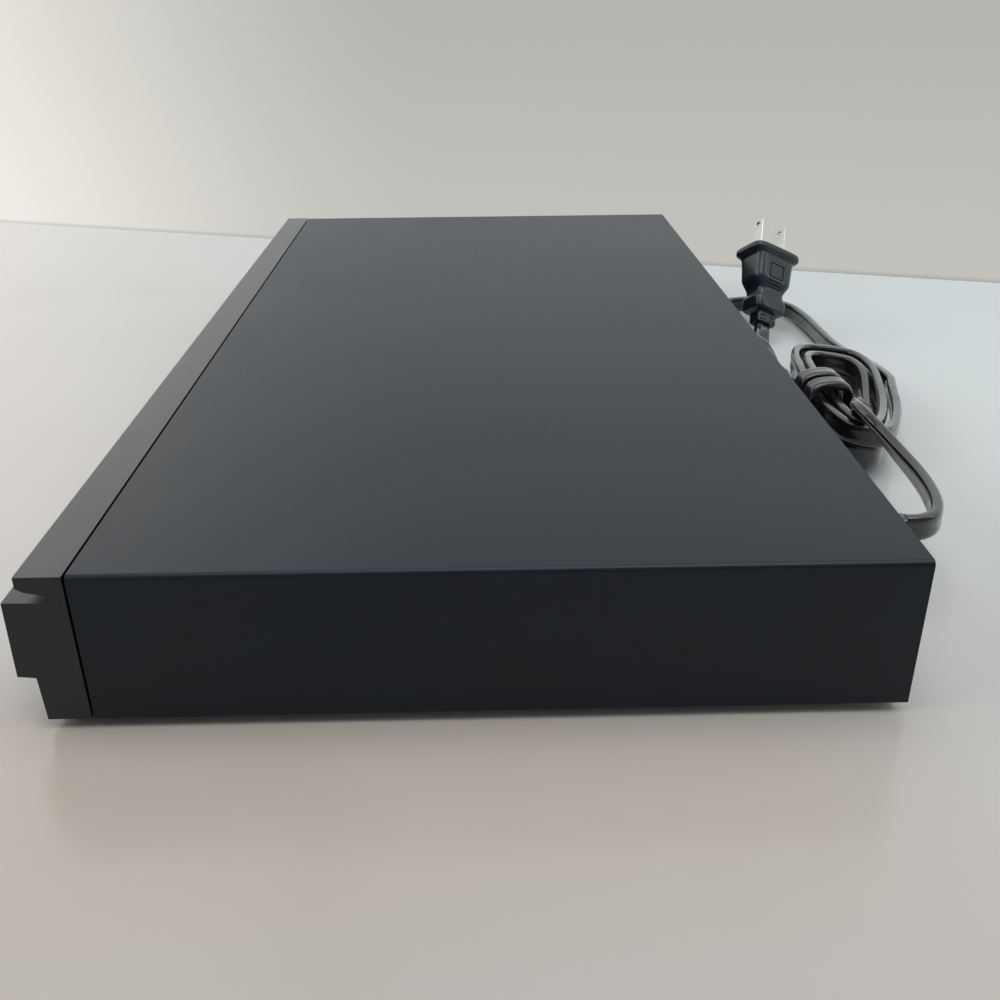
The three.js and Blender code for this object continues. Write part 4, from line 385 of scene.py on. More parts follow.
@dataclass(frozen=True)
class SoftRubber(Finish):
    """Rubber or soft PVC: slight bloom, fine skin and tiny nicks."""

    bloom: Colour = (0.05, 0.052, 0.055)
    skin_per_m: float = 1300
    skin_depth: float = 10e-6
    gloss: float = 0

    def paint(self, shader: Shader) -> None:
        """Build the material's nodes.

        Args:
            shader: the material under construction.
        """
        bloom = shader.noise(85, detail=4).rise(0.5, 0.8)
        skin = shader.noise(self.skin_per_m, detail=3)
        nicks = shader.cells(210).rise(0.06, 0.025)
        base = self.mottle(shader, skin, 0.85, 1.15)
        shader.dress(
            base_color=shader.blend(bloom * 0.35 + nicks * 0.3, base, self.bloom),
            roughness=self.roughness + 0.1 * bloom + 0.07 * (skin - 0.5),
            normal=shader.bump(skin - 0.6 * nicks, self.skin_depth),
            coat_roughness=0.12,
            coat_weight=self.gloss * (1 - 0.5 * bloom) if self.gloss else 0,
        )


@dataclass(frozen=True)
class CircuitBoard(Finish):
    """Printed board: solder mask over tracks that run two ways, with plated holes."""

    track: Colour = (0.03, 0.19, 0.07)
    plated: Colour = (0.62, 0.56, 0.36)
    tracks_per_m: float = 420

    def paint(self, shader: Shader) -> None:
        """Build the material's nodes.

        Args:
            shader: the material under construction.
        """
        field = shader.node("SeparateColor", None, [shader.cells(38, "Color")], "Red")
        turned = field.rise(0.49, 0.51)
        lanes = [
            shader.along(axis).math("MULTIPLY", self.tracks_per_m).math("FRACT") for axis in "XY"
        ]
        lane = lanes[0] * turned + lanes[1] * (1 - turned)
        track = lane.rise(0.3, 0.36) * lane.rise(0.7, 0.64) * shader.noise(52).rise(0.42, 0.46)
        holes = shader.cells(190).rise(0.13, 0.11)
        mask = self.mottle(shader, shader.noise(30), 0.85, 1.15)
        base = shader.blend(track, mask, self.track)
        shader.dress(
            base_color=shader.blend(holes, base, self.plated),
            metallic=holes * 0.9,
            roughness=self.roughness - 0.12 * holes + 0.06 * (track - 0.5),
            normal=shader.bump(track * 0.5 + holes * 0.5, 30e-6),
        )


@dataclass(frozen=True)
class FlatCable(Finish):
    """White flat cable whose conductors show as fine ridges across one axis."""

    across: str = "X"
    conductors_per_m: float = 1000
    conductor: Colour = (0.47, 0.48, 0.47)

    def paint(self, shader: Shader) -> None:
        """Build the material's nodes.

        Args:
            shader: the material under construction.
        """
        lane = (shader.along(self.across) * self.conductors_per_m).math("FRACT")
        wire = lane.rise(0.2, 0.32) * lane.rise(0.8, 0.68)
        # Cloudy patches: the cable is a little darker and rougher in places.
        cloudy_patches = shader.noise(60, detail=3)
        base = shader.blend(wire, self.colour, self.conductor)
        shader.dress(
            base_color=shader.blend(cloudy_patches.rise(0.5, 0.8) * 0.2, base, self.shade(0.8)),
            roughness=self.roughness + 0.12 * (cloudy_patches - 0.5),
            normal=shader.bump(wire, 60e-6),
        )


@dataclass(frozen=True)
class ClearCoated(Finish):
    """A clear lens or lamp: deep colour that lightens from its middle, under a hard coat."""

    rim: Colour = (0.5, 0.62, 0.9)
    middle: Point = (0, 0, 0)
    reach: float = 3.6 * MM

    def paint(self, shader: Shader) -> None:
        """Build the material's nodes.

        Args:
            shader: the material under construction.
        """
        offset = shader.node("VectorMath", {"operation": "SUBTRACT"}, [shader.place, self.middle])
        away = shader.node("VectorMath", {"operation": "LENGTH"}, [offset], "Value")
        haze = shader.noise(500, detail=3)
        base = shader.blend(away.rise(0.2 * self.reach, self.reach), self.colour, self.rim)
        shader.dress(
            base_color=shader.blend(haze.rise(0.55, 0.8) * 0.2, base, self.shade(2)),
            roughness=self.roughness + 0.08 * haze.rise(0.5, 0.8),
            coat_weight=1.0,
            coat_roughness=0.02,
            normal=shader.bump(haze, 2e-6),
        )


@dataclass(frozen=True)
class Sleeve(Finish):
    """Shrink sleeve of a capacitor, with a pale stripe down one side."""

    stripe: Colour = (0.5, 0.55, 0.6)
    stripe_from: float = 0

    def paint(self, shader: Shader) -> None:
        """Build the material's nodes.

        Args:
            shader: the material under construction.
        """
        stripe = shader.along("X").rise(self.stripe_from, self.stripe_from + 0.3 * MM)
        skin = shader.noise(240, detail=3)
        base = self.mottle(shader, skin, 0.85, 1.2)
        shader.dress(
            base_color=shader.blend(stripe, base, self.stripe),
            roughness=self.roughness + 0.1 * (skin - 0.5),
            normal=shader.bump(skin, 25e-6),
        )


@cache
def material_of(finish: Finish) -> bpy.types.Material:
    """The finish's material, built once."""
    shader = Shader(finish.name)
    finish.paint(shader)
    return shader.material


cover_paint = PowderCoat("cover_paint", (0.0035, 0.0095, 0.0165), 0.38)
chassis_zinc = ZincPlate("chassis_zinc", (0.52, 0.53, 0.54), 0.34)
front_plastic = MouldedPlastic("front_plastic", (0.004, 0.009, 0.0135), 0.33, gloss=0.3)
key_plastic = MouldedPlastic("key_plastic", (0.012, 0.013, 0.0145), 0.36, 2200, 8e-6)
window_gloss = GlossPlastic("window_gloss", (0.004, 0.0042, 0.005), 0.06)
display_gloss = GlossPlastic("display_gloss", (0.012, 0.017, 0.016), 0.12)
print_grey = MouldedPlastic("print_grey", (0.5, 0.51, 0.51), 0.5, 3000, 3e-6)
inner_plastic = MouldedPlastic("inner_plastic", (0.015, 0.0155, 0.0165), 0.46)
grey_plastic = MouldedPlastic("grey_plastic", (0.085, 0.09, 0.098), 0.5)
tape_yellow = MouldedPlastic("tape_yellow", (0.62, 0.42, 0.06), 0.42, 900)
acetal = MouldedPlastic("acetal", (0.66, 0.65, 0.59), 0.42, 1100, 8e-6)
chip_black = MouldedPlastic("chip_black", (0.014, 0.014, 0.015), 0.55, 2600, 8e-6)
ceramic_tan = MouldedPlastic("ceramic_tan", (0.3, 0.21, 0.13), 0.5, 2600, 5e-6)
motor_steel = Metal("motor_steel", (0.55, 0.56, 0.57), 0.24, (1, 1, 0.06))
bright_steel = Metal("bright_steel", (0.66, 0.66, 0.64), 0.14, (1, 0.05, 1))
port_steel = Metal("port_steel", (0.58, 0.58, 0.57), 0.26, (0.06, 1, 1))
blade_nickel = Metal("blade_nickel", (0.74, 0.73, 0.69), 0.13, (1, 1, 0.05), stain=0.82)
screw_zinc = Metal("screw_zinc", (0.5, 0.51, 0.52), 0.28, (1, 1, 1), 1500)
contact_gold = Metal("contact_gold", (0.82, 0.6, 0.22), 0.2, (1, 0.05, 1))
copper_wire = Metal("copper_wire", (0.72, 0.33, 0.16), 0.3, (1, 1, 0.2))
turned_brass = Metal("turned_brass", (0.7, 0.5, 0.2), 0.2, (1, 1, 0.05))
sink_aluminium = Metal("sink_aluminium", (0.6, 0.61, 0.63), 0.3, (1, 0.04, 1), 2600, 6e-6)
solder = Metal("solder", (0.56, 0.57, 0.58), 0.32, (1, 1, 1), 900, 12e-6)
foot_rubber = SoftRubber("foot_rubber", (0.012, 0.012, 0.013), 0.72)
belt_rubber = SoftRubber("belt_rubber", (0.01, 0.01, 0.011), 0.62)
disc_pad = SoftRubber("disc_pad", (0.02, 0.02, 0.022), 0.8)
cord_jacket = SoftRubber(
    "cord_jacket", (0.0065, 0.0078, 0.0098), 0.26, (0.03, 0.032, 0.036), 700, 7e-6, gloss=0.9)
plug_jacket = SoftRubber(
    "plug_jacket", (0.007, 0.014, 0.022), 0.34, (0.03, 0.043, 0.06), 900, 12e-6, gloss=0.3)
wire_white = SoftRubber("wire_white", (0.6, 0.6, 0.58), 0.4, (0.7, 0.7, 0.68), 600, 6e-6)
wire_black = SoftRubber("wire_black", (0.012, 0.012, 0.013), 0.4, (0.04, 0.04, 0.042), 600, 6e-6)
board_green = CircuitBoard("board_green", (0.011, 0.105, 0.036), 0.36)
board_brown = CircuitBoard(
    "board_brown", (0.25, 0.14, 0.045), 0.55, (0.33, 0.2, 0.08), (0.55, 0.5, 0.4), 190)
cable_front = FlatCable("cable_front", (0.74, 0.75, 0.74), 0.36, "X")
cable_drive = FlatCable("cable_drive", (0.74, 0.75, 0.74), 0.36, "Y")


class Axis(Enum):
    """The direction in which a turned shape runs; the value turns +Z to it."""

    Y = Matrix.Rotation(-math.pi / 2, 4, "X")
    Z = Matrix.Identity(4)


class NodeBox:
    """A CAD node's box, in millimetres."""

    def __init__(self, node: str) -> None:
        """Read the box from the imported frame.

        Args:
            node: the CAD node.
        """
        self.node = node
        self.low, self.high = (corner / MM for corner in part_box(node))
        self.size = self.high - self.low
        self.middle = (self.low + self.high) / 2

    def foot(self, axis: Axis = Axis.Z) -> Vector:
        """The middle, put at 0 along an axis."""
        x, y, z = self.middle
        return Vector((x, 0, z)) if axis is Axis.Y else Vector((x, y, 0))


def signed_power(value: float, power: float) -> float:
    """The value's size to a power, with its sign kept."""
    return math.copysign(abs(value) ** power, value)


def smooth_share(share: float) -> float:
    """A share of 0 to 1, eased at both ends."""
    return share * share * (3 - 2 * share)


def directions(path: Sequence[Vector]) -> list[Vector]:
    """The direction of a path at each of its points."""
    ends = [path[0], *path, path[-1]]
    return [(after - before).normalized() for before, after in zip(ends, ends[2:])]


def square_to(along: Vector, side: Vector) -> Vector:
    """A side's direction, turned square to another."""
    return (side - along * side.dot(along)).normalized()


def spread(middle: float, count: int, pitch: float) -> list[float]:
    """Evenly spaced places on both sides of a middle."""
    return [middle + (index - (count - 1) / 2) * pitch for index in range(count)]


def oblong_corners(left: float, right: float, low: float, high: float) -> list[Pair]:
    """The corners of an upright oblong, in order."""
    return [(left, low), (right, low), (right, high), (left, high)]


def oblong(length: float, width: float, height: float, sides: int, square: float) -> list[Vector]:
    """A rounded oblong ring about the Z axis.

    Args:
        length: its size along X.
        width: its size along Y.
        height: its place along Z.
        sides: how many points it has.
        square: 1 for an ellipse, and less for squarer corners.

    Returns:
        The ring's points, in order.
    """
    angles = [FULL_TURN * side / sides for side in range(sides)]
    return [
        Vector((
            length / 2 * signed_power(math.cos(angle), square),
            width / 2 * signed_power(math.sin(angle), square),
            height,
        ))
        for angle in angles
    ]


def curve_through(knots: Sequence[Sequence[float]], steps: int) -> list[Vector]:
    """A smooth curve through knots.

    Args:
        knots: places that the curve passes, in order.
        steps: how many steps there are from each knot to the next.

    Returns:
        The curve's points.
    """
    curve = []
    for index in range(len(knots) - 1):
        a, b, c, d = (
            Vector(knots[min(max(index + step, 0), len(knots) - 1)]) for step in (-1, 0, 1, 2))
        for step in range(steps):
            t = step / steps
            curve.append(0.5 * (
                2 * b + (c - a) * t + (2 * a - 5 * b + 4 * c - d) * t**2 + (3 * b - a - 3 * c + d) * t**3))
    return [*curve, Vector(knots[-1])]


def eased_profile(profile: Profile, ease: float) -> list[Pair]:
    """Round the inner corners of a turned profile.

    Args:
        profile: radius and height pairs.
        ease: how far before and after each corner the rounding reaches.

    Returns:
        The profile with each corner but the ends replaced by a short arc.
    """
    rounded = [profile[0]]
    for before, corner, after in zip(profile, profile[1:], profile[2:]):
        corner_at = Vector(corner)
        to_before = Vector(before) - corner_at
        to_after = Vector(after) - corner_at
        reach = min(ease, to_before.length / 2.2, to_after.length / 2.2)
        start = corner_at + to_before.normalized() * reach
        end = corner_at + to_after.normalized() * reach
        for share in (0, 0.33, 0.67, 1):
            bent = start.lerp(corner_at, share).lerp(corner_at.lerp(end, share), share)
            rounded.append((bent.x, bent.y))
    rounded.append(profile[-1])
    return rounded


class Mould:
    """Collects shapes in millimetres, each with its finish, and turns them into one piece."""

    def __init__(self) -> None:
        """Start with an empty mesh."""
        self.mesh = bmesh.new()
        self.finishes: list[Finish] = []

    def index_of(self, finish: Finish) -> int:
        """The finish's place in the piece's material list, added where it is new."""
        if finish not in self.finishes:
            self.finishes.append(finish)
        return self.finishes.index(finish)

    def loft(self, rings: Sequence[Sequence[Vector]], finish: Finish, looped: bool = False) -> None:
        """Join rings of points into a closed body.

        Args:
            rings: the rings, each with the same number of points.
            finish: the body's finish.
            looped: whether the last ring joins the first; if not, a flat cap closes each end.
        """
        made = [[self.mesh.verts.new(point * MM) for point in ring] for ring in rings]
        faces = []
        if looped:
            made.append(made[0])
        else:
            faces = [self.mesh.faces.new(reversed(made[0])), self.mesh.faces.new(made[-1])]
        for ring, after in zip(made, made[1:]):
            for side in range(len(ring)):
                beside = (side + 1) % len(ring)
                faces.append(self.mesh.faces.new((ring[side], ring[beside], after[beside], after[side])))
        for face in faces:
            face.material_index = self.index_of(finish)

    def turned(
        self, centre: Point, profile: Profile, finish: Finish, axis: Axis = Axis.Z, sides: int = 48,
    ) -> None:
        """Add a turned body.

        Args:
            centre: the place that heights are measured from, on the axis.
            profile: radius and height pairs, from one end to the other.
            finish: the body's finish.
            axis: the direction in which heights grow.
            sides: how many sides it has.
        """
        least = 0.01
        place = Matrix.Translation(centre) @ axis.value
        rings = []
        for radius, z in profile:
            width = 2 * max(radius, least)
            rings.append([place @ point for point in oblong(width, width, z, sides, 1)])
        self.loft(rings, finish)

    def block(self, low: Point, high: Point, finish: Finish, ease: float = 0) -> None:
        """Add a block between two corners, its edges eased by a small bevel.

        Args:
            low: the lowest corner.
            high: the highest corner.
            finish: the block's finish.
            ease: the bevel's width; 0 leaves the edges sharp.
        """
        low, high = Vector(low) * MM, Vector(high) * MM
        place = Matrix.Translation((low + high) / 2) @ Matrix.Diagonal((*(high - low), 1))
        verts = bmesh.ops.create_cube(self.mesh, size=1, matrix=place)["verts"]
        faces = {face for vert in verts for face in vert.link_faces}
        if ease:
            edges = list({edge for vert in verts for edge in vert.link_edges})
            bevelled = bmesh.ops.bevel(
                self.mesh, geom=edges, offset=ease * MM, segments=2, profile=0.5, affect="EDGES")
            faces = {face for face in faces if face.is_valid} | set(bevelled["faces"])
        for face in faces:
            face.material_index = self.index_of(finish)

    def prism(self, outline: Sequence[Vector], depth: Vector, finish: Finish) -> None:
        """Draw a flat outline out along a direction."""
        self.loft([list(outline), [point + depth for point in outline]], finish)

    def tube(self, path: Sequence[Vector], radius: float, finish: Finish, sides: int) -> None:
        """Add a round wire or cord along a path of points.

        Args:
            path: its centreline.
            radius: its radius.
            finish: its finish.
            sides: how many sides it has.
        """
        rings = []
        side = Vector((1, 0, 0))
        for point, along in zip(path, directions(path)):
            side = square_to(along, side)
            through = along.cross(side)
            rings.append([
                point + radius * (side * math.cos(angle) + through * math.sin(angle))
                for angle in (FULL_TURN * step / sides for step in range(sides))
            ])
        self.loft(rings, finish)

    def copy_node(self, node: str, finish: Finish, ease: float) -> None:
        """Add a CAD node's own shape, with its sharp edges eased.

        Args:
            node: the CAD node.
            finish: the finish of the whole copy.
            ease: the bevel's width.
        """
        part = bmesh.new()
        part.from_mesh(frame["nodes"][node].data)
        bmesh.ops.remove_doubles(part, verts=part.verts, dist=0.002 * MM)
        bmesh.ops.dissolve_limit(
            part, angle_limit=math.radians(0.5), verts=part.verts, edges=part.edges, delimit=set())
        part.normal_update()
        limit = math.radians(SHARP_TURN)
        edges = [
            edge for edge in part.edges
            if len(edge.link_faces) == 2 and edge.calc_face_angle(0) > limit
        ]
        bmesh.ops.bevel(
            part, geom=edges, offset=ease * MM, segments=2, profile=0.5, affect="EDGES",
            clamp_overlap=True)
        for face in part.faces:
            face.material_index = self.index_of(finish)
        spare = bpy.data.meshes.new("spare")
        part.to_mesh(spare)
        part.free()
        self.mesh.from_mesh(spare)
        bpy.data.meshes.remove(spare)

    def piece(
        self, name: str, *nodes: str, slot: str = "", body: str = "", smooth: float = SHARP_TURN,
    ) -> bpy.types.Object:
        """Finish the mesh as a piece that rides on a body.

        Args:
            name: the piece's name.
            nodes: the CAD nodes that it stands for.
            slot: the record's material slot of a piece that stands for none; not used.
            body: the CAD body that such a piece moves with.
            smooth: edges that turn by less than this many degrees are shaded smooth.

        Returns:
            The piece.
        """
        bmesh.ops.recalc_face_normals(self.mesh, faces=self.mesh.faces)
        data = bpy.data.meshes.new(name)
        self.mesh.to_mesh(data)
        self.mesh.free()
        for finish in self.finishes:
            data.materials.append(material_of(finish))
        data.shade_smooth()
        data.set_sharp_from_angle(angle=math.radians(smooth))
        made = bpy.data.objects.new(name, data)
        bpy.context.scene.collection.objects.link(made)
        weighted = made.modifiers.new("weighted", "WEIGHTED_NORMAL")
        weighted.keep_sharp = True
        body = body or body_of(nodes[0])
        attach(made, body)
        slot or slot_of(nodes[0])
        if nodes:
            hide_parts(*nodes)
        log.info("%s: %d faces, on %s", name, len(data.polygons), body)
        return made


def body_of(node: str) -> str:
    """The body that holds a CAD node."""
    bodies = frame["record"]["behaviour"]["bodies"]
    return next(name for name, nodes in bodies.items() if node in nodes)


def slot_of(node: str) -> str:
    """The record's material slot of a CAD node."""
    subparts = frame["record"]["subparts"]
    return next(part["material_slot"] for part in subparts if part["node"] == node)


def ease_node(node: str, finish: Finish, ease: float) -> bpy.types.Object:
    """Stand in for a CAD node with the same shape, its edges eased and its finish on."""
    mould = Mould()
    mould.copy_node(node, finish, ease)
    return mould.piece(f"{node}_dressed", node)


def turn_node(
    box: NodeBox, name: str, profile: Profile, finish: Finish, ease: float, axis: Axis = Axis.Z,
    sides: int = 48,
) -> None:
    """Stand in for a CAD node with a body turned about its middle.

    Args:
        box: the node's box.
        name: the piece's name.
        profile: radius and height pairs, with heights from the ground or from Y 0.
        finish: its finish.
        ease: how far its corners are rounded.
        axis: the direction in which heights grow.
        sides: how many sides it has.
    """
    mould = Mould()
    mould.turned(box.foot(axis), eased_profile(profile, ease) if ease else profile, finish, axis, sides)
    mould.piece(name, box.node)


@dataclass
class Studio:
    """Camera, lamps, table top and backdrop."""

    focal_length: float = 37.8
    sensor_width: float = 36
    camera_at: Point = (0.3686, 0.0035, 0.1491)
    camera_right: Point = (0.0216, 0.9997, -0.0079)
    camera_down: Point = (0.4458, -0.0167, -0.895)
    camera_ahead: Point = (-0.8949, 0.0159, -0.4461)
    table_reach: float = 2.4
    # The table's colours at the shaded, warm end and at the lit, cool end of a painted light ramp.
    table_warm_painted_shade: Colour = (0.64, 0.615, 0.585)
    table_cool_painted_light: Colour = (0.76, 0.82, 0.81)
    # Darker warm colour for clouds and smudges on the table, and for painted shade on its near side.
    table_smudge_and_painted_shade: Colour = (0.3, 0.27, 0.23)
    # Warm colour of a painted reflection of the casing's underside in the table.
    table_painted_reflection: Colour = (0.42, 0.29, 0.16)
    wall_foot: tuple[Point, Point] = ((-0.374, -0.3275, 0), (-0.181, 0.282, 0))
    wall_height: float = 1.1
    wall_colour: Colour = (0.465, 0.46, 0.43)
    # The wall's glow where painted light brightens it most.
    wall_painted_light: Colour = (0.86, 0.84, 0.78)
    # Colours that glossy rays see on the wall: a painted reflection, brighter than the wall seen straight
    # on.
    wall_painted_reflection: Colour = (0.74, 0.77, 0.79)
    wall_painted_reflection_bright: Colour = (1.4, 1.36, 1.3)
    room_colour: Colour = (0.8, 0.87, 1.0)
    room_strength: float = 0.26

    def build(self) -> None:
        """Make the camera, the lamps and the stage."""
        self.make_camera()
        self.make_lamps()
        self.make_table()
        self.make_wall()

    def make_camera(self) -> None:
        """Set the camera where the object's outline fits the view asked for."""
        data = bpy.data.cameras.new("camera")
        data.lens = self.focal_length
        data.sensor_width = self.sensor_width
        data.sensor_fit = "HORIZONTAL"
        data.clip_start = 0.01
        camera = bpy.data.objects.new("camera", data)
        right, down, ahead = (
            Vector(v).normalized() for v in (self.camera_right, self.camera_down, self.camera_ahead))
        camera.matrix_world = Matrix.Translation(self.camera_at) @ Matrix(
            (right, -down, -ahead)).transposed().to_4x4()
        bpy.context.scene.collection.objects.link(camera)
        bpy.context.scene.camera = camera

    def make_lamp(
        self, name: str, at: Point, towards: Point, size: float, power: float, colour: Colour,
    ) -> None:
        """Hang a square soft lamp.

        Args:
            name: the lamp's name.
            at: its place.
            towards: the place that it faces.
            size: its side.
            power: its power in watts.
            colour: its colour.
        """
        data = bpy.data.lights.new(name, "AREA")
        data.size = size
        data.energy = power
        data.color = colour
        lamp = bpy.data.objects.new(name, data)
        lamp.location = at
        lamp.rotation_euler = (Vector(towards) - Vector(at)).to_track_quat("-Z", "Y").to_euler()
        bpy.context.scene.collection.objects.link(lamp)

    def make_lamps(self) -> None:
        """Light the room softly: a window on each side, a ceiling, and the room itself."""
        self.make_lamp("window", (0.1, -1.5, 0.9), (-0.1, 0, 0), 1.3, 11, (1, 0.98, 0.95))
        self.make_lamp("far_window", (-0.1, 1.6, 0.9), (-0.1, 0.2, 0), 1.2, 10, (0.86, 0.96, 1))
        self.make_lamp("ceiling", (0.1, 0.3, 1.6), (0, 0, 0), 1.6, 20, (1, 1, 1))
        world = bpy.data.worlds.new("room")
        world.use_nodes = True
        background = world.node_tree.nodes["Background"]
        background.inputs["Color"].default_value = (*self.room_colour, 1)
        background.inputs["Strength"].default_value = self.room_strength
        bpy.context.scene.world = world
        bpy.context.scene.view_settings.view_transform = "Standard"

    def make_plane(self, name: str, corners: Sequence[Vector], material: bpy.types.Material) -> None:
        """Add a flat stage piece with these corners.

        Args:
            name: the piece's name.
            corners: its corners, in order.
            material: its material.
        """
        data = bpy.data.meshes.new(name)
        data.from_pydata(corners, [], [range(len(corners))])
        data.materials.append(material)
        plane = bpy.data.objects.new(name, data)
        bpy.context.scene.collection.objects.link(plane)

    def make_table(self) -> None:
        """Lay the pale glossy table top; its colour carries painted light, painted shade and a painted
        reflection of the casing.
        """
        reach = self.table_reach
        corners = [Vector((x, y, 0)) for x, y in (
            (-reach, -reach), (reach, -reach), (reach, reach), (-reach, reach))]
        shader = Shader("table_top")
        cloud = shader.noise(3, detail=3)
        smudges = shader.noise(14, detail=4).rise(0.56, 0.7)
        specks = shader.cells(24).rise(0.035, 0.02) * shader.noise(11).rise(0.5, 0.6)
        x, y = shader.along("X"), shader.along("Y")
        # Painted light: the table is lighter and cooler towards +Y and the far side, and darker and warmer
        # towards -Y and the near side.
        painted_light_share = (y - 0.6 * x).rise(-0.12, 0.3)
        base = shader.blend(painted_light_share, self.table_warm_painted_shade, self.table_cool_painted_light)
        # Painted shade: the table darkens towards +X, on the camera's side of the casing. Clouds and
        # smudges also darken it a little.
        painted_lighting_ramp = (x - 0.3 * y).rise(0.12, 0.3) * 0.27
        smudge_and_painted_shade = cloud.rise(0.35, 0.65) * 0.06 + smudges * 0.05 + painted_lighting_ramp
        base = shader.blend(smudge_and_painted_shade, base, self.table_smudge_and_painted_shade)
        # Painted reflection: a warm, darker strip on the table along the casing's +X side, where its
        # underside would be mirrored.
        beside = x.rise(0.3, 0.185) * x.rise(0.165, 0.185) * y.rise(-0.16, -0.08) * y.rise(0.15, 0.06)
        base = shader.blend(beside * 0.3, base, self.table_painted_reflection)
        shader.dress(
            base_color=shader.blend(specks * 0.5, base, (0.2, 0.2, 0.19)),
            roughness=0.2 + 0.1 * (cloud - 0.5) + 0.06 * smudges,
            normal=shader.bump(shader.noise(9), 0.12 * MM),
        )
        self.make_plane("table", corners, shader.material)

    def make_wall(self) -> None:
        """Stand the backdrop behind the object; it is only there from its front. Its glow carries painted
        light, a painted shadow at its foot and a painted reflection.
        """
        first, second = (Vector(end) for end in self.wall_foot)
        out = (second - first) * 3
        up = Vector((0, 0, self.wall_height))
        corners = [first - out, second + out, second + out + up, first - out + up]
        shader = Shader("wall")
        # Painted light: the wall's glow is brighter towards -Y, the window's side, and brighter again low
        # down.
        painted_lighting_ramp = shader.along("Y").rise(-0.02, -0.42)
        foot = shader.along("Z").rise(0.16, 0) * 0.18
        # Painted shadow: a thin dark band where the wall meets the table.
        shade = shader.along("Z").rise(3 * MM, 0) * 0.35
        rays = [
            shader.node("LightPath", output=name)
            for name in ("Is Camera Ray", "Is Glossy Ray", "Is Transmission Ray")
        ]
        seen = (rays[0] + rays[1] + rays[2]).math("MINIMUM", 1)
        glow = shader.blend(painted_lighting_ramp + foot, self.wall_colour, self.wall_painted_light)
        glow = shader.blend(shade, glow, (0.2, 0.2, 0.19))
        # Painted reflection: glossy surfaces mirror the wall in its own brighter colours, most of all
        # towards -Y.
        painted_reflection_colour = shader.blend(painted_lighting_ramp, self.wall_painted_reflection, self.wall_painted_reflection_bright)
        glow = shader.blend(rays[1], glow, painted_reflection_colour)
        shader.dress(base_color=self.wall_colour, roughness=0.7)
        lit = shader.node("Emission", None, {"Color": glow, "Strength": 1.0})
        plain = Value(shader, shader.body.outputs[0])
        shown = shader.node("MixShader", None, {0: seen, 1: plain, 2: lit})
        behind = shader.node("NewGeometry", output="Backfacing")
        clear = shader.node("BsdfTransparent")
        whole = shader.node("MixShader", None, {0: behind, 1: shown, 2: clear})
        shader.feed(shader.output.inputs["Surface"], whole)
        self.make_plane("backdrop", corners, shader.material)


@dataclass(frozen=True)
class Stop:
    """A place on the cord's centreline, with the direction of the cord's width there."""

    centre: Vector
    across: Vector


def level_across(along: Vector, before: Vector) -> Vector:
    """The level direction across a cord; where the cord stands upright, the one before it holds."""
    across = along.cross(Vector((0, 0, 1)))
    return across.normalized() if across.length > 0.12 else before


def plug_place() -> Matrix:
    """The plug's place and lean, from the tip of its neck, in millimetres.

    Returns:
        The turn and the shift from the plug's own axes.
    """
    neck_tip = (-83.1, 129.2, 9)
    heading = math.radians(166.5)
    lean = math.radians(42)
    turn = math.radians(-65)
    return (
        Matrix.Translation(neck_tip) @ Matrix.Rotation(heading, 4, "Z")
        @ Matrix.Rotation(lean, 4, "Y") @ Matrix.Rotation(turn - heading, 4, "Z"))


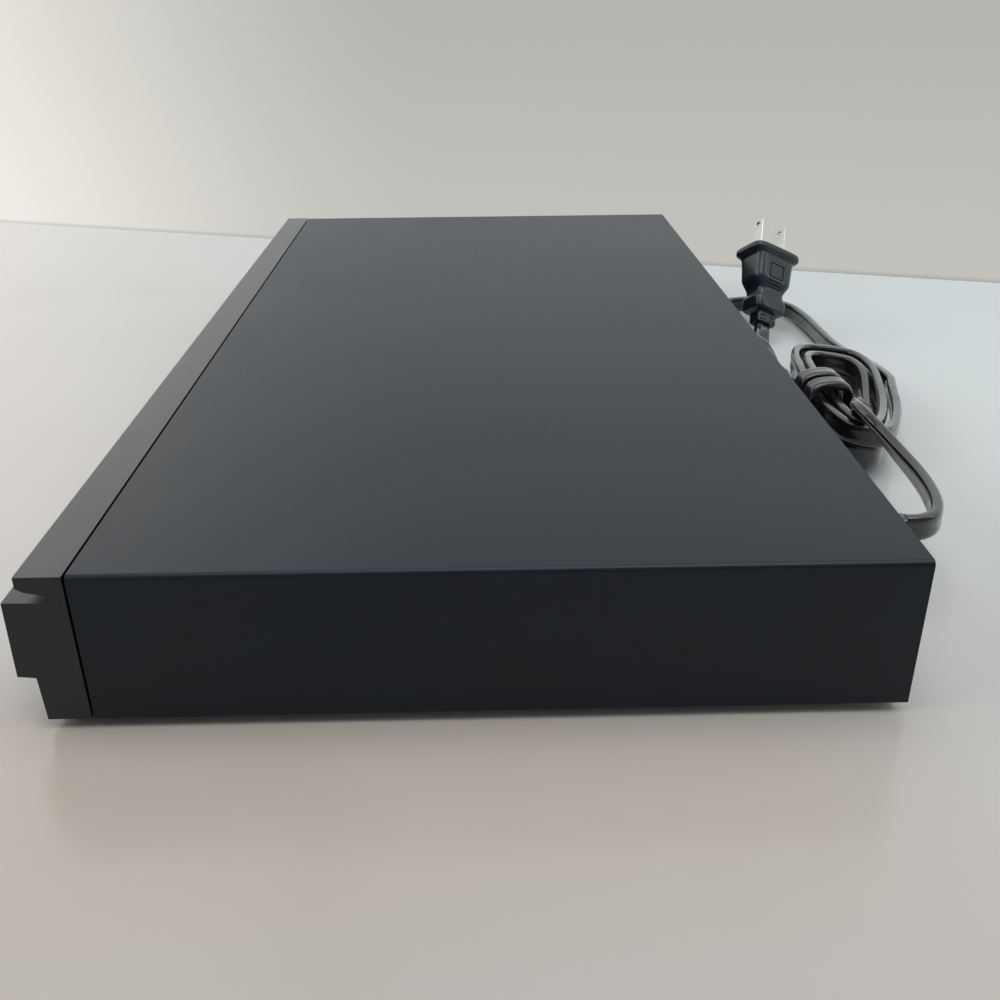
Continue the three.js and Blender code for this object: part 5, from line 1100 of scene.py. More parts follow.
@dataclass
class MainsCord:
    """One flat two-core cord, bound in a hank behind the casing. Sizes and routes in millimetres."""

    width: float = 7
    thickness: float = 3.5
    groove_share: float = 0.13
    section_sides: int = 28
    steps_per_loop: int = 24
    steps_between: int = 3
    hank_loops: float = 3.5
    hank_at: Pair = (12, 135)
    hank_turn: float = math.radians(-10)
    reverse_loop: float = 2
    near_reach: Pair = (39, 5.8)
    far_reach: Pair = (31.5, 9.2)
    hank_half: Pair = (8.4, 4.4)
    hank_heights: Point = (3.9, 7.8, 6)
    lift_angle: float = math.radians(-55)
    climb_share: float = 0.28
    wrap_at: Point = (42, 122, 13.9)
    wrap_heading: float = math.radians(182)
    wrap_angles: Pair = (math.radians(62), math.radians(-885))
    wrap_half: Pair = (7.8, 10.3)
    wrap_pitch: float = 9.5
    wrap_leads: Pair = (11, 6)
    exit_at: Point = (137, 109.3, 24)

    LEAD_ROUTE = (
        (137, 109.3, 24, 90), (136.9, 113.2, 24, 90), (134.8, 117.3, 24, 90), (129.6, 120.5, 24, 92),
        (121, 122.8, 24, 96), (109, 124.2, 24, 102), (96, 124, 24.6, 110), (83, 122.5, 26.5, 120),
        (74, 120.3, 29, 132))
    FAR_LOOP_ROUTE = (
        (-2.6, 108.9, 24.3, 104), (-9.5, 106.7, 25, 99), (-19, 105.2, 22.5, 94), (-36, 105, 14.6, 90),
        (-57, 106, 7.4, 90),
        (-80, 107, 4.2, 90), (-104, 109.5, 4, 90), (-121, 115, 4, 90), (-132, 124, 4, 90),
        (-135, 135, 4, 90), (-131, 146, 4, 90), (-121, 152.5, 4, 90), (-106, 154.8, 4, 90),
        (-88, 155.3, 4, 90), (-68, 155.5, 4, 90), (-50, 156.3, 5.2, 90), (-34, 157, 7.4, 90),
        (-18, 156.8, 9.8, 90))
    TAIL_ROUTE = (
        (-15, 123.9, 6.2, 84), (-27, 124, 4.9, 66), (-38, 123.2, 3.8, 40), (-49, 122.9, 2.6, 12),
        (-60, 123.9, 2.1, 0), (-71.7, 126.5, 2.4, -6), (-76.8, 127.7, 3.5, -17))
    TAIL_END = ((3.5, -28), (1.75, -33), (0, -38.5))
    NODES = ("cord_lead", "cord_wraps", "cord_far_loop", "cord_hank", "cord_tail")

    def hank_point(self, loops: float) -> Vector:
        """A point of the hank: loops in two layers that spiral in, step down, and spiral out.

        Args:
            loops: how many loops lie between the hank's start and the point.

        Returns:
            The point.
        """
        outward = abs(self.reverse_loop - loops)
        angle = math.pi / 2 - FULL_TURN * loops
        cosine = math.cos(angle)
        reach, step = self.near_reach if cosine > 0 else self.far_reach
        half = self.hank_half[0] * (1 - 0.5 * cosine) + self.hank_half[1] * outward
        share = (loops - self.reverse_loop) / self.climb_share + 0.5
        fall = smooth_share(min(max(share, 0), 1))
        base, layer, rise = self.hank_heights
        lift = rise * (1 + math.cos(angle - self.lift_angle)) / 2
        flat = Vector((
            (reach + step * outward) * signed_power(cosine, 0.85),
            half * signed_power(math.sin(angle), 0.66),
            base + layer * (1 - fall) + lift,
        ))
        return Matrix.Rotation(self.hank_turn, 3, "Z") @ flat + Vector((*self.hank_at, 0))

    def wrap_point(self, share: float) -> Vector:
        """A point of the wraps, which wind round the hank's inner run.

        Args:
            share: 0 at the start of the wraps and 1 at their end.

        Returns:
            The point.
        """
        start, end = self.wrap_angles
        angle = start + (end - start) * share
        turns = (start - end) / FULL_TURN
        lead_in = self.wrap_leads[0] * max(0, 1 - share / 0.13) ** 2
        lead_out = self.wrap_leads[1] * max(0, 1 - (1 - share) / 0.13) ** 2
        along = self.wrap_direction()
        across = Vector((along.y, -along.x, 0))
        return (
            Vector(self.wrap_at)
            + Vector((lead_in - lead_out, 0, 0))
            + along * (self.wrap_pitch * turns * share)
            + across * (self.wrap_half[0] * signed_power(math.cos(angle), 0.65))
            + Vector((0, 0, self.wrap_half[1] * signed_power(math.sin(angle), 0.65)))
        )

    def wrap_direction(self) -> Vector:
        """The direction in which the wraps advance."""
        return Vector((math.cos(self.wrap_heading), math.sin(self.wrap_heading), 0))

    def wound_stops(self, points: Sequence[Vector], width_along: Vector) -> list[Stop]:
        """Stops of a wound length, with two straight steps at each end.

        Args:
            points: the centreline, in order.
            width_along: the direction of the cord's width.

        Returns:
            The stops.
        """
        out = (points[0] - points[1]).normalized() * self.width
        on = (points[-1] - points[-2]).normalized() * self.width
        whole = [points[0] + 2 * out, points[0] + out, *points, points[-1] + on, points[-1] + 2 * on]
        return [
            Stop(centre, square_to(along, width_along)) for centre, along in zip(whole, directions(whole))]

    def free_stops(self, route: Sequence[tuple], before: Vector, after: Vector) -> list[Stop]:
        """Stops of a free length, from places with turns in degrees from lying flat.

        Args:
            route: X, Y, Z and turn of each stop.
            before: the place before the first stop.
            after: the place after the last stop.

        Returns:
            The stops.
        """
        centres = [before, *(Vector(stop[:3]) for stop in route), after]
        level = Vector((0, 1, 0))
        stops = []
        for stop, centre, along in zip(route, centres[1:], directions(centres)[1:]):
            level = level_across(along, level)
            turn = math.radians(stop[3])
            across = level * math.cos(turn) + level.cross(along) * math.sin(turn)
            stops.append(Stop(centre, across))
        return stops

    def all_stops(self) -> list[Stop]:
        """Every stop of the cord, from the strain relief to the plug.

        Returns:
            The stops, with their widths turned the same way.
        """
        count = round(self.hank_loops * self.steps_per_loop)
        hank = self.wound_stops(
            [self.hank_point(step / self.steps_per_loop) for step in range(count + 1)], Vector((0, 0, 1)))
        turns = (self.wrap_angles[0] - self.wrap_angles[1]) / FULL_TURN
        count = round(turns * self.steps_per_loop)
        wraps = self.wound_stops(
            [self.wrap_point(step / count) for step in range(count + 1)], self.wrap_direction())
        inside = Vector(self.exit_at) - Vector((0, self.width, 0))
        neck = plug_place()
        rise = [neck @ Vector((0, 0, -below)) for below, _ in self.TAIL_END]
        tail = [*self.TAIL_ROUTE, *((*at, turn) for at, (_, turn) in zip(rise, self.TAIL_END))]
        stops = [
            *self.free_stops(self.LEAD_ROUTE, inside, wraps[0].centre), *wraps,
            *self.free_stops(self.FAR_LOOP_ROUTE, wraps[-1].centre, hank[0].centre), *hank,
            *self.free_stops(tail, hank[-1].centre, neck @ Vector((0, 0, self.width))),
        ]
        matched = [stops[0]]
        for stop in stops[1:]:
            flipped = stop.across.dot(matched[-1].across) < 0
            matched.append(Stop(stop.centre, -stop.across if flipped else stop.across))
        return matched

    def smooth_stops(self) -> list[Stop]:
        """The stops with smooth steps between them, on one curve through all of them.

        Returns:
            The stops, in order.
        """
        stops = self.all_stops()
        smooth = []
        for index in range(len(stops) - 1):
            around = [stops[min(max(index + step, 0), len(stops) - 1)] for step in (-1, 0, 1, 2)]
            gaps = [
                max((b.centre - a.centre).length, 1e-6) ** 0.5 for a, b in zip(around, around[1:])]
            before, start, end, after = (stop.centre for stop in around)
            leave = (end - start) / gaps[1]
            arrive = leave.copy()
            if index > 0:
                leave += (start - before) / gaps[0] - (end - before) / (gaps[0] + gaps[1])
            if index < len(stops) - 2:
                arrive += (after - end) / gaps[2] - (after - start) / (gaps[1] + gaps[2])
            leave *= gaps[1]
            arrive *= gaps[1]
            for step in range(self.steps_between):
                t = step / self.steps_between
                centre = (
                    start * (2 * t**3 - 3 * t**2 + 1) + leave * (t**3 - 2 * t**2 + t)
                    + end * (3 * t**2 - 2 * t**3) + arrive * (t**3 - t**2))
                smooth.append(Stop(centre, around[1].across.lerp(around[2].across, t).normalized()))
        return [*smooth, stops[-1]]

    def section(self) -> list[Pair]:
        """The jacket's outline: flat, with round edges and a shallow groove between its cores.

        Returns:
            Places across and through the cord, in order.
        """
        half, deep = self.width / 2, self.thickness / 2
        points = []
        for side in range(self.section_sides):
            angle = FULL_TURN * side / self.section_sides
            u = half * signed_power(math.cos(angle), 0.72)
            v = deep * signed_power(math.sin(angle), 0.5)
            groove = self.groove_share * math.exp(-((u / (0.16 * self.width)) ** 2))
            points.append((u, v * (1 - groove)))
        return points

    def build(self) -> None:
        stops = self.smooth_stops()
        section = self.section()
        mould = Mould()
        rings = []
        for stop, along in zip(stops, directions([stop.centre for stop in stops])):
            across = square_to(along, stop.across)
            through = along.cross(across)
            rings.append([stop.centre + across * u + through * v for u, v in section])
        mould.loft(rings, cord_jacket)
        cord = mould.piece("mains_cord", *self.NODES, smooth=60)
        path = [stop.centre * MM for stop in stops]
        length = sum((b - a).length for a, b in zip(path, path[1:]))
        log.info("mains_cord: %.3f m long", length)
        relief = StrainRelief().build()
        plug = Plug().build()


@dataclass
class StrainRelief:
    """Moulded strain relief: a flange on each side of the rear panel and ribs towards the cord."""

    half_width: float = 4.8
    half_height: float = 5.5
    groove: float = 1
    taper: float = 1.1
    flange: float = 1.6
    rib_depth: float = 0.7
    rib_count: int = 3
    sheet: float = 0.8
    gap: float = 0.3
    square: float = 0.5
    sides: int = 44
    ease: float = 0.22

    def profile(self, box: NodeBox) -> Profile:
        """How far the outline stands in from its full size, along Y.

        Args:
            box: the box of the strain relief's CAD node.

        Returns:
            Inset and Y pairs.
        """
        inner = NodeBox("rear_panel").low.y - self.gap
        outer = inner + self.sheet + 2 * self.gap
        ribs_from = outer + self.flange
        waist = self.groove
        profile = [
            (waist, box.low.y), (waist, inner - self.flange), (0, inner - self.flange), (0, inner),
            (waist, inner), (waist, outer), (0, outer), (0, ribs_from)]
        pitch = (box.high.y - ribs_from) / (self.rib_count + 1)
        for rib in range(self.rib_count + 1):
            from_y = ribs_from + rib * pitch
            narrow = waist + self.taper * rib / self.rib_count
            profile += [(narrow, from_y), (narrow, from_y + pitch / 2)]
            if rib < self.rib_count:
                proud = narrow - self.rib_depth
                profile += [(proud, from_y + pitch / 2), (proud, from_y + pitch)]
        return [*profile, (profile[-1][0], box.high.y)]

    def build(self) -> bpy.types.Object:
        """Make the strain relief in place of its CAD node.

        Returns:
            The piece.
        """
        box = NodeBox("cord_grommet")
        rings = []
        for inset, y in eased_profile(self.profile(box), self.ease):
            width, height = 2 * (self.half_width - inset), 2 * (self.half_height - inset)
            place = Matrix.Translation((box.middle.x, y, box.middle.z)) @ Axis.Y.value
            rings.append([place @ point for point in oblong(width, height, 0, self.sides, self.square)])
        mould = Mould()
        mould.loft(rings, cord_jacket)
        return mould.piece("strain_relief", "cord_grommet", smooth=50)


@dataclass
class Plug:
    """Moulded flat two-pin plug that leans back on its cord, with grip ribs and bright blades."""

    height: float = 35
    neck_reach: float = 5
    collar_height: float = 6.5
    bend: float = 1.3
    waist_height: float = 8
    flange_thickness: float = 2.6
    neck: Pair = (10.4, 7.2)
    collar: Pair = (16.5, 12.5)
    waist: Pair = (14, 11)
    body: Pair = (19.5, 14)
    flange: Pair = (26, 18)
    sides: int = 72
    square: float = 0.38
    panel_half: float = 3.9
    panel_above_waist: float = 7.4
    panel_rise: float = 7
    rim: float = 0.55
    proud: float = 0.4
    rib_widths: Point = (7.6, 7, 6.4)
    rib_height: float = 0.75
    rib_pitch: float = 1.5
    rib_gap: float = 0.9
    rib_proud: float = 0.45
    notch_x: float = 2.6
    notch_half: float = 1.5
    notch_heights: tuple[Pair, Pair] = ((2.6, 3.4), (0.8, 1.6))

    @property
    def waist_from(self) -> float:
        """The height at which the waist begins."""
        return self.neck_reach + self.collar_height + self.bend

    def ring_sizes(self) -> list[Point]:
        """Length, width and height of the body's rings, from the tip of its neck to its face.

        Returns:
            The rings' sizes, in order.
        """
        collar_top = self.neck_reach + self.collar_height
        waist_z = self.waist_from
        shoulder = waist_z + self.waist_height
        flange_bottom = self.height - self.flange_thickness
        outline = [
            (self.neck, -0.5, 0), (self.neck, 0, 0.4), (self.neck, 0, self.neck_reach - 0.3),
            (self.neck, 1.6, self.neck_reach + 0.1), (self.collar, -0.9, self.neck_reach + 0.5),
            (self.collar, 0, self.neck_reach + self.bend), (self.collar, 0.3, collar_top - 1.6),
            (self.collar, 0, collar_top - 0.7), (self.collar, -0.4, collar_top - 0.1),
            (self.collar, -1.2, collar_top + 0.25), (self.waist, 0.5, waist_z - 0.3),
            (self.waist, 0, waist_z + 0.6)]
        for step in range(1, 10):
            share = step / 9
            size = tuple(a + (b - a) * smooth_share(share) for a, b in zip(self.waist, self.body))
            outline.append((size, 0, waist_z + self.bend + (shoulder - waist_z - self.bend) * share))
        outline += [
            (self.body, 0.5, (shoulder + flange_bottom) / 2 - 1), (self.body, 1.2, flange_bottom - 2.2),
            (self.flange, -3.4, flange_bottom - 1.4), (self.flange, -1.2, flange_bottom - 0.4),
            (self.flange, -0.2, flange_bottom + 0.1), (self.flange, 0, flange_bottom + 0.5),
            (self.flange, 0, self.height - 0.9), (self.flange, -0.3, self.height - 0.35),
            (self.flange, -0.9, self.height - 0.06), (self.flange, -1.4, self.height)]
        return [(length + more, width + more, z) for (length, width), more, z in outline]

    def half_width_at(self, z: float) -> float:
        """The body's half width across its flat sides, at a height.

        Args:
            z: the height above the neck's tip.

        Returns:
            The half width.
        """
        sizes = self.ring_sizes()
        for (_, width, low), (_, above, high) in zip(sizes, sizes[1:]):
            if low <= z <= high and high > low:
                return (width + (above - width) * (z - low) / (high - low)) / 2
        return sizes[-1][1] / 2

    def raise_bar(self, mould: Mould, low: Pair, high: Pair, proud: float) -> None:
        """Add a raised bar on each flat side.

        Args:
            mould: the plug's mould.
            low: the bar's lowest place, across and up the side.
            high: its highest place.
            proud: how far it stands out.
        """
        ease = proud * 0.6
        for side in (-1, 1):
            rings = []
            for x, inner in ((low[0], low[0] + ease), (high[0], high[0] - ease)):
                ring = []
                for z, top in ((low[1], low[1] + ease), (high[1], high[1] - ease)):
                    foot = Vector((x, side * (self.half_width_at(z) - 0.7), z))
                    edge = Vector((x, side * (self.half_width_at(z) - 0.1), z))
                    crown = Vector((inner, side * (self.half_width_at(top) + proud), top))
                    ring += [foot, edge, crown] if z == low[1] else [crown, edge, foot]
                rings.append([plug_place() @ point for point in ring])
            mould.loft(rings, plug_jacket)

    def build(self) -> list[bpy.types.Object]:
        """Make the body with its details, and the blades, in place of their CAD nodes.

        Returns:
            The pieces.
        """
        mould = Mould()
        mould.loft([
            [plug_place() @ point for point in oblong(*size, self.sides, self.square)]
            for size in self.ring_sizes()], plug_jacket)
        half, rim = self.panel_half, self.rim
        foot = self.waist_from + self.panel_above_waist
        head = foot + self.panel_rise
        for low, high in (
                ((-half, foot), (half, foot + rim)), ((-half, head - rim), (half, head)),
                ((-half, foot), (rim - half, head)), ((half - rim, foot), (half, head))):
            self.raise_bar(mould, low, high, self.proud)
        for index, width in enumerate(self.rib_widths):
            top = foot - self.rib_gap - self.rib_pitch * index
            self.raise_bar(mould, (-width / 2, top - self.rib_height), (width / 2, top), self.rib_proud)
        for x in (-self.notch_x, self.notch_x):
            for low, high in self.notch_heights:
                self.raise_bar(
                    mould, (x - self.notch_half, low), (x + self.notch_half, high), self.proud)
        body = mould.piece("plug_shell", "plug_body", smooth=42)
        blades = [ease_node(f"plug_blade_{side}", blade_nickel, 0.22) for side in ("left", "right")]
        return [body, *blades]


@dataclass
class Casing:
    """Cover, chassis, rear panel, feet and screws."""

    foot_ease: float = 0.7
    foot_taper: float = 0.8
    dimple: float = 4.5
    dimple_depth: float = 0.5

    def build(self) -> None:
        """Make the casing's pieces."""
        ease_node("top_cover", cover_paint, 0.16)
        ease_node("bottom_chassis", chassis_zinc, 0.16)
        ease_node("rear_panel", cover_paint, 0.1)
        for corner in ("front_left", "front_right", "rear_left", "rear_right"):
            self.make_foot(f"foot_{corner}")
        for number in range(1, 5):
            ease_node(f"rear_screw_{number}", screw_zinc, 0.16)

    def make_foot(self, node: str) -> None:
        """Make a moulded rubber foot with a rounded rim and a dimple below.

        Args:
            node: the foot's CAD node.
        """
        box = NodeBox(node)
        wide = box.size.x / 2
        profile = [
            (0, self.dimple_depth), (self.dimple - 0.6, self.dimple_depth), (self.dimple, 0),
            (wide - self.foot_taper, 0), (wide, box.high.z), (0, box.high.z)]
        turn_node(box, f"{node}_moulded", profile, foot_rubber, self.foot_ease, sides=56)


class Symbol(Enum):
    """The printed sign of a key."""

    POWER = "power_button"
    STOP = "stop_button"
    PLAY = "play_button"
    EJECT = "eject_button"


@dataclass
class FrontPanel:
    """Moulded front with its window, flap and keys, and what stands behind it."""

    key_ease: float = 0.3
    sign_size: float = 1.5
    sign_line: float = 0.3
    sign_proud: float = 0.05
    sign_sunk: float = 0.02
    face_lean: float = 0.0214
    board_thickness: float = 1.6
    display_legs: int = 12
    loose_parts: int = 22

    def build(self) -> None:
        """Make the front's pieces."""
        ease_node("front_bezel", front_plastic, 0.38)
        ease_node("display_window", window_gloss, 0.25)
        ease_node("usb_flap", front_plastic, self.key_ease)
        for symbol in Symbol:
            self.make_key(symbol)
        self.make_display()
        self.make_board()
        self.make_usb_port()
        self.make_ribbon()

    def shape(self, symbol: Symbol) -> list[list[Pair]]:
        """The outlines of a key's sign, in the plane of the front.

        Args:
            symbol: the sign.

        Returns:
            Each outline's corners.
        """
        size, line = self.sign_size, self.sign_line
        if symbol is Symbol.STOP:
            return [oblong_corners(-size, size, -size, size)]
        if symbol is Symbol.PLAY:
            bars = [
                oblong_corners(x, x + 1.6 * line, -size, size) for x in (0.75 * size, 1.25 * size)]
            return [[(-1.5 * size, -size), (0.35 * size, 0), (-1.5 * size, size)], *bars]
        if symbol is Symbol.EJECT:
            bar = oblong_corners(-size, size, -size, -size + 1.6 * line)
            return [[(-size, -0.3 * size), (size, -0.3 * size), (0, size)], bar]
        steps = 28
        opening = math.radians(36)
        outer, inner = 1.25 * size, 1.25 * size - 1.3 * line
        turns = [
            math.pi / 2 + opening + (FULL_TURN - 2 * opening) * step / steps
            for step in range(steps + 1)]
        arc = [(math.cos(angle), math.sin(angle)) for angle in turns]
        quads = [
            [(x * reach, y * reach) for (x, y), reach in ((a, inner), (a, outer), (b, outer), (b, inner))]
            for a, b in zip(arc, arc[1:])]
        return [*quads, oblong_corners(-0.65 * line, 0.65 * line, 0, 1.35 * size)]

    def make_key(self, symbol: Symbol) -> None:
        """Make a key with its printed sign; the round key's face is upright, the others lean.

        Args:
            symbol: the key's sign.
        """
        box = NodeBox(symbol.value)
        mould = Mould()
        mould.copy_node(box.node, key_plastic, self.key_ease)
        lean = 0 if symbol is Symbol.POWER else self.face_lean
        for outline in self.shape(symbol):
            points = [
                Vector((
                    box.middle.x + x, box.low.y + self.sign_sunk + lean * (z + box.size.z / 2),
                    box.middle.z + z))
                for x, z in outline]
            mould.prism(points, Vector((0, -self.sign_proud, 0)), print_grey)
        mould.piece(f"{box.node}_dressed", box.node)

    def make_display(self) -> None:
        """Make the display module: a glass block in a frame, with its soldered legs."""
        box = NodeBox("display_module")
        mould = Mould()
        mould.block(box.low, box.high, display_gloss, 0.4)
        for leg in range(self.display_legs):
            x = box.low.x + box.size.x * (leg + 0.5) / self.display_legs
            mould.block((x - 0.3, box.high.y - 1.6, box.low.z - 0.5),
                        (x + 0.3, box.high.y, box.low.z + 0.4), solder)
        mould.piece("display_module_glass", box.node)

    def make_board(self) -> None:
        """Make the front board with its switches and small parts."""
        box = NodeBox("front_board")
        face = box.high.y - self.board_thickness
        mould = Mould()
        mould.block((box.low.x, face, box.low.z), box.high, board_green, 0.1)
        plunger = [(0, 0), (1.5, 0), (1.7, 0.2), (1.7, 1.2), (0, 1.2)]
        for symbol in Symbol:
            x, _, z = NodeBox(symbol.value).middle
            mould.block((x - 3, box.low.y + 0.9, z - 3), (x + 3, face, z + 3), chip_black, 0.3)
            mould.turned((x, box.low.y, z), plunger, acetal, Axis.Y, 28)
        parts = random.Random(5)
        for _ in range(self.loose_parts):
            x = parts.uniform(box.low.x + 6, box.high.x - 6)
            z = parts.uniform(box.low.z + 2, box.low.z + 8)
            mould.block((x - 0.7, face - 0.6, z - 0.6), (x + 0.7, face, z + 0.6), chip_black)
            for end in (x - 0.9, x + 0.9):
                mould.block(
                    (end - 0.25, face - 0.65, z - 0.62), (end + 0.25, face, z + 0.62), solder, 0.08)
        mould.piece("front_board_dressed", box.node)

    def make_usb_port(self) -> None:
        """Make the socket behind the flap, with its tongue and four contacts."""
        box = NodeBox("usb_port")
        mould = Mould()
        mould.copy_node(box.node, port_steel, 0.12)
        for x in spread(box.middle.x, 4, 2.3):
            mould.block((x - 0.5, box.low.y + 2.2, box.middle.z + 0.78),
                        (x + 0.5, box.high.y - 1.2, box.middle.z + 0.9), contact_gold)
        mould.piece("usb_port_dressed", box.node)

    def make_ribbon(self) -> None:
        """Lay the flat cable from the front board to the main board in a soft curve."""
        box = NodeBox("front_ribbon")
        knots = [
            (box.low.y, box.high.z - 1.5), (box.low.y + 10, 5.6), (-60, 5), (-20, 5), (0, 5.4),
            (box.high.y - 5, 9), (box.high.y, box.high.z - 0.4)]
        lay_ribbon("front_cable", knots, (box.low.x, box.high.x), True, cable_front, box.node)


def lay_ribbon(
    name: str, knots: Sequence[Pair], reach: Pair, along_y: bool, finish: Finish, node: str,
    half: float = 0.17,
) -> None:
    """Make a flat cable that bends smoothly through knots.

    Args:
        name: the piece's name.
        knots: places along its run, each with its height.
        reach: where its two edges lie across the run.
        along_y: whether it runs along Y, and not along X.
        finish: its finish.
        node: the CAD node that it stands for.
        half: half its thickness.
    """
    rings = []
    for run, height in curve_through(knots, 8):
        corners = oblong_corners(*reach, height - half, height + half)
        rings.append([Vector((across, run, z) if along_y else (run, across, z)) for across, z in corners])
    mould = Mould()
    mould.loft(rings, finish)
    mould.piece(name, node)


@dataclass
class Loader:
    """Loader frame, tray, clamp and the drive of the tray."""

    belt_steps: int = 24
    belt_thickness: float = 0.7
    belt_crown: float = 0.12
    belt_small_radius: float = 3.95

    def build(self) -> None:
        """Make the loader's pieces."""
        ease_node("loader_frame", inner_plastic, 0.25)
        ease_node("clamp_bridge", chassis_zinc, 0.12)
        ease_node("disc_tray", inner_plastic, 0.3)
        ease_node("tray_door", front_plastic, 0.35)
        for node in ("tray_gear", "pulley_gear", "cam_slider"):
            ease_node(node, acetal, 0.1)
        self.make_puck()
        self.make_motor()
        self.make_motor_pulley()
        self.make_belt()

    def make_puck(self) -> None:
        """Make the clamp that presses on a disc: a plastic spool with a steel plate."""
        box = NodeBox("clamp_puck")
        wide, neck = box.size.x / 2, 12
        low, high = box.low.z, box.high.z
        profile = [
            (0, low + 0.3), (wide - 2, low + 0.3), (wide - 1.2, low), (wide, low), (wide, low + 2),
            (neck, low + 2), (neck, high - 1.2), (wide, high - 1.2), (wide, high), (9, high),
            (8.4, high - 0.5), (0, high - 0.5)]
        plate = [
            (0, high - 0.49), (7.6, high - 0.49), (7.6, high - 0.12), (7.4, high - 0.02), (0, high - 0.02)]
        mould = Mould()
        mould.turned(box.foot(), eased_profile(profile, 0.25), grey_plastic, sides=64)
        mould.turned(box.foot(), plate, motor_steel)
        mould.piece("clamp_puck_moulded", box.node)

    def make_motor(self) -> None:
        """Make the loading motor: a drawn steel can with its end plate and shaft."""
        box = NodeBox("loading_motor")
        wide, low, top = box.size.x / 2, box.low.z, 10.5
        profile = [
            (0, low), (wide - 1.5, low), (wide - 1.2, low + 0.3), (wide, low + 0.4), (wide, top), (3, top),
            (3, top - 0.2), (1, top - 0.2), (1, box.high.z), (0, box.high.z)]
        turn_node(box, "loading_motor_can", profile, motor_steel, 0.2)

    def make_motor_pulley(self) -> None:
        """Make the small turned brass pulley."""
        box = NodeBox("motor_pulley")
        rim, low, high = box.size.x / 2, box.low.z, box.high.z
        profile = [
            (0, low), (rim, low), (rim, low + 0.7), (rim - 1, low + 0.95), (rim - 1, high - 0.95),
            (rim, high - 0.7), (rim, high), (0, high)]
        turn_node(box, "motor_pulley_turned", profile, turned_brass, 0.12)

    def make_belt(self) -> None:
        """Make the belt: a square rubber loop round the two pulleys."""
        box = NodeBox("drive_belt")
        gear, motor = NodeBox("pulley_gear").foot(), NodeBox("motor_pulley").foot()
        large, small = box.size.y / 2, self.belt_small_radius
        low, high = box.low.z, box.high.z
        lean = math.acos((large - small) / (motor.x - gear.x))
        rings = []
        for centre, radius, start, end in (
                (gear, large, lean, FULL_TURN - lean), (motor, small, -lean, lean)):
            inner, crown = radius - self.belt_thickness, self.belt_crown
            section = [
                (inner, low), (radius - crown, low), (radius, low + crown), (radius, high - crown),
                (radius - crown, high), (inner, high)]
            for step in range(self.belt_steps + 1):
                turn = Matrix.Rotation(start + (end - start) * step / self.belt_steps, 3, "Z")
                rings.append([centre + turn @ Vector((reach, 0, z)) for reach, z in section])
        mould = Mould()
        mould.loft(rings, belt_rubber, looped=True)
        mould.piece("drive_belt_loop", box.node)


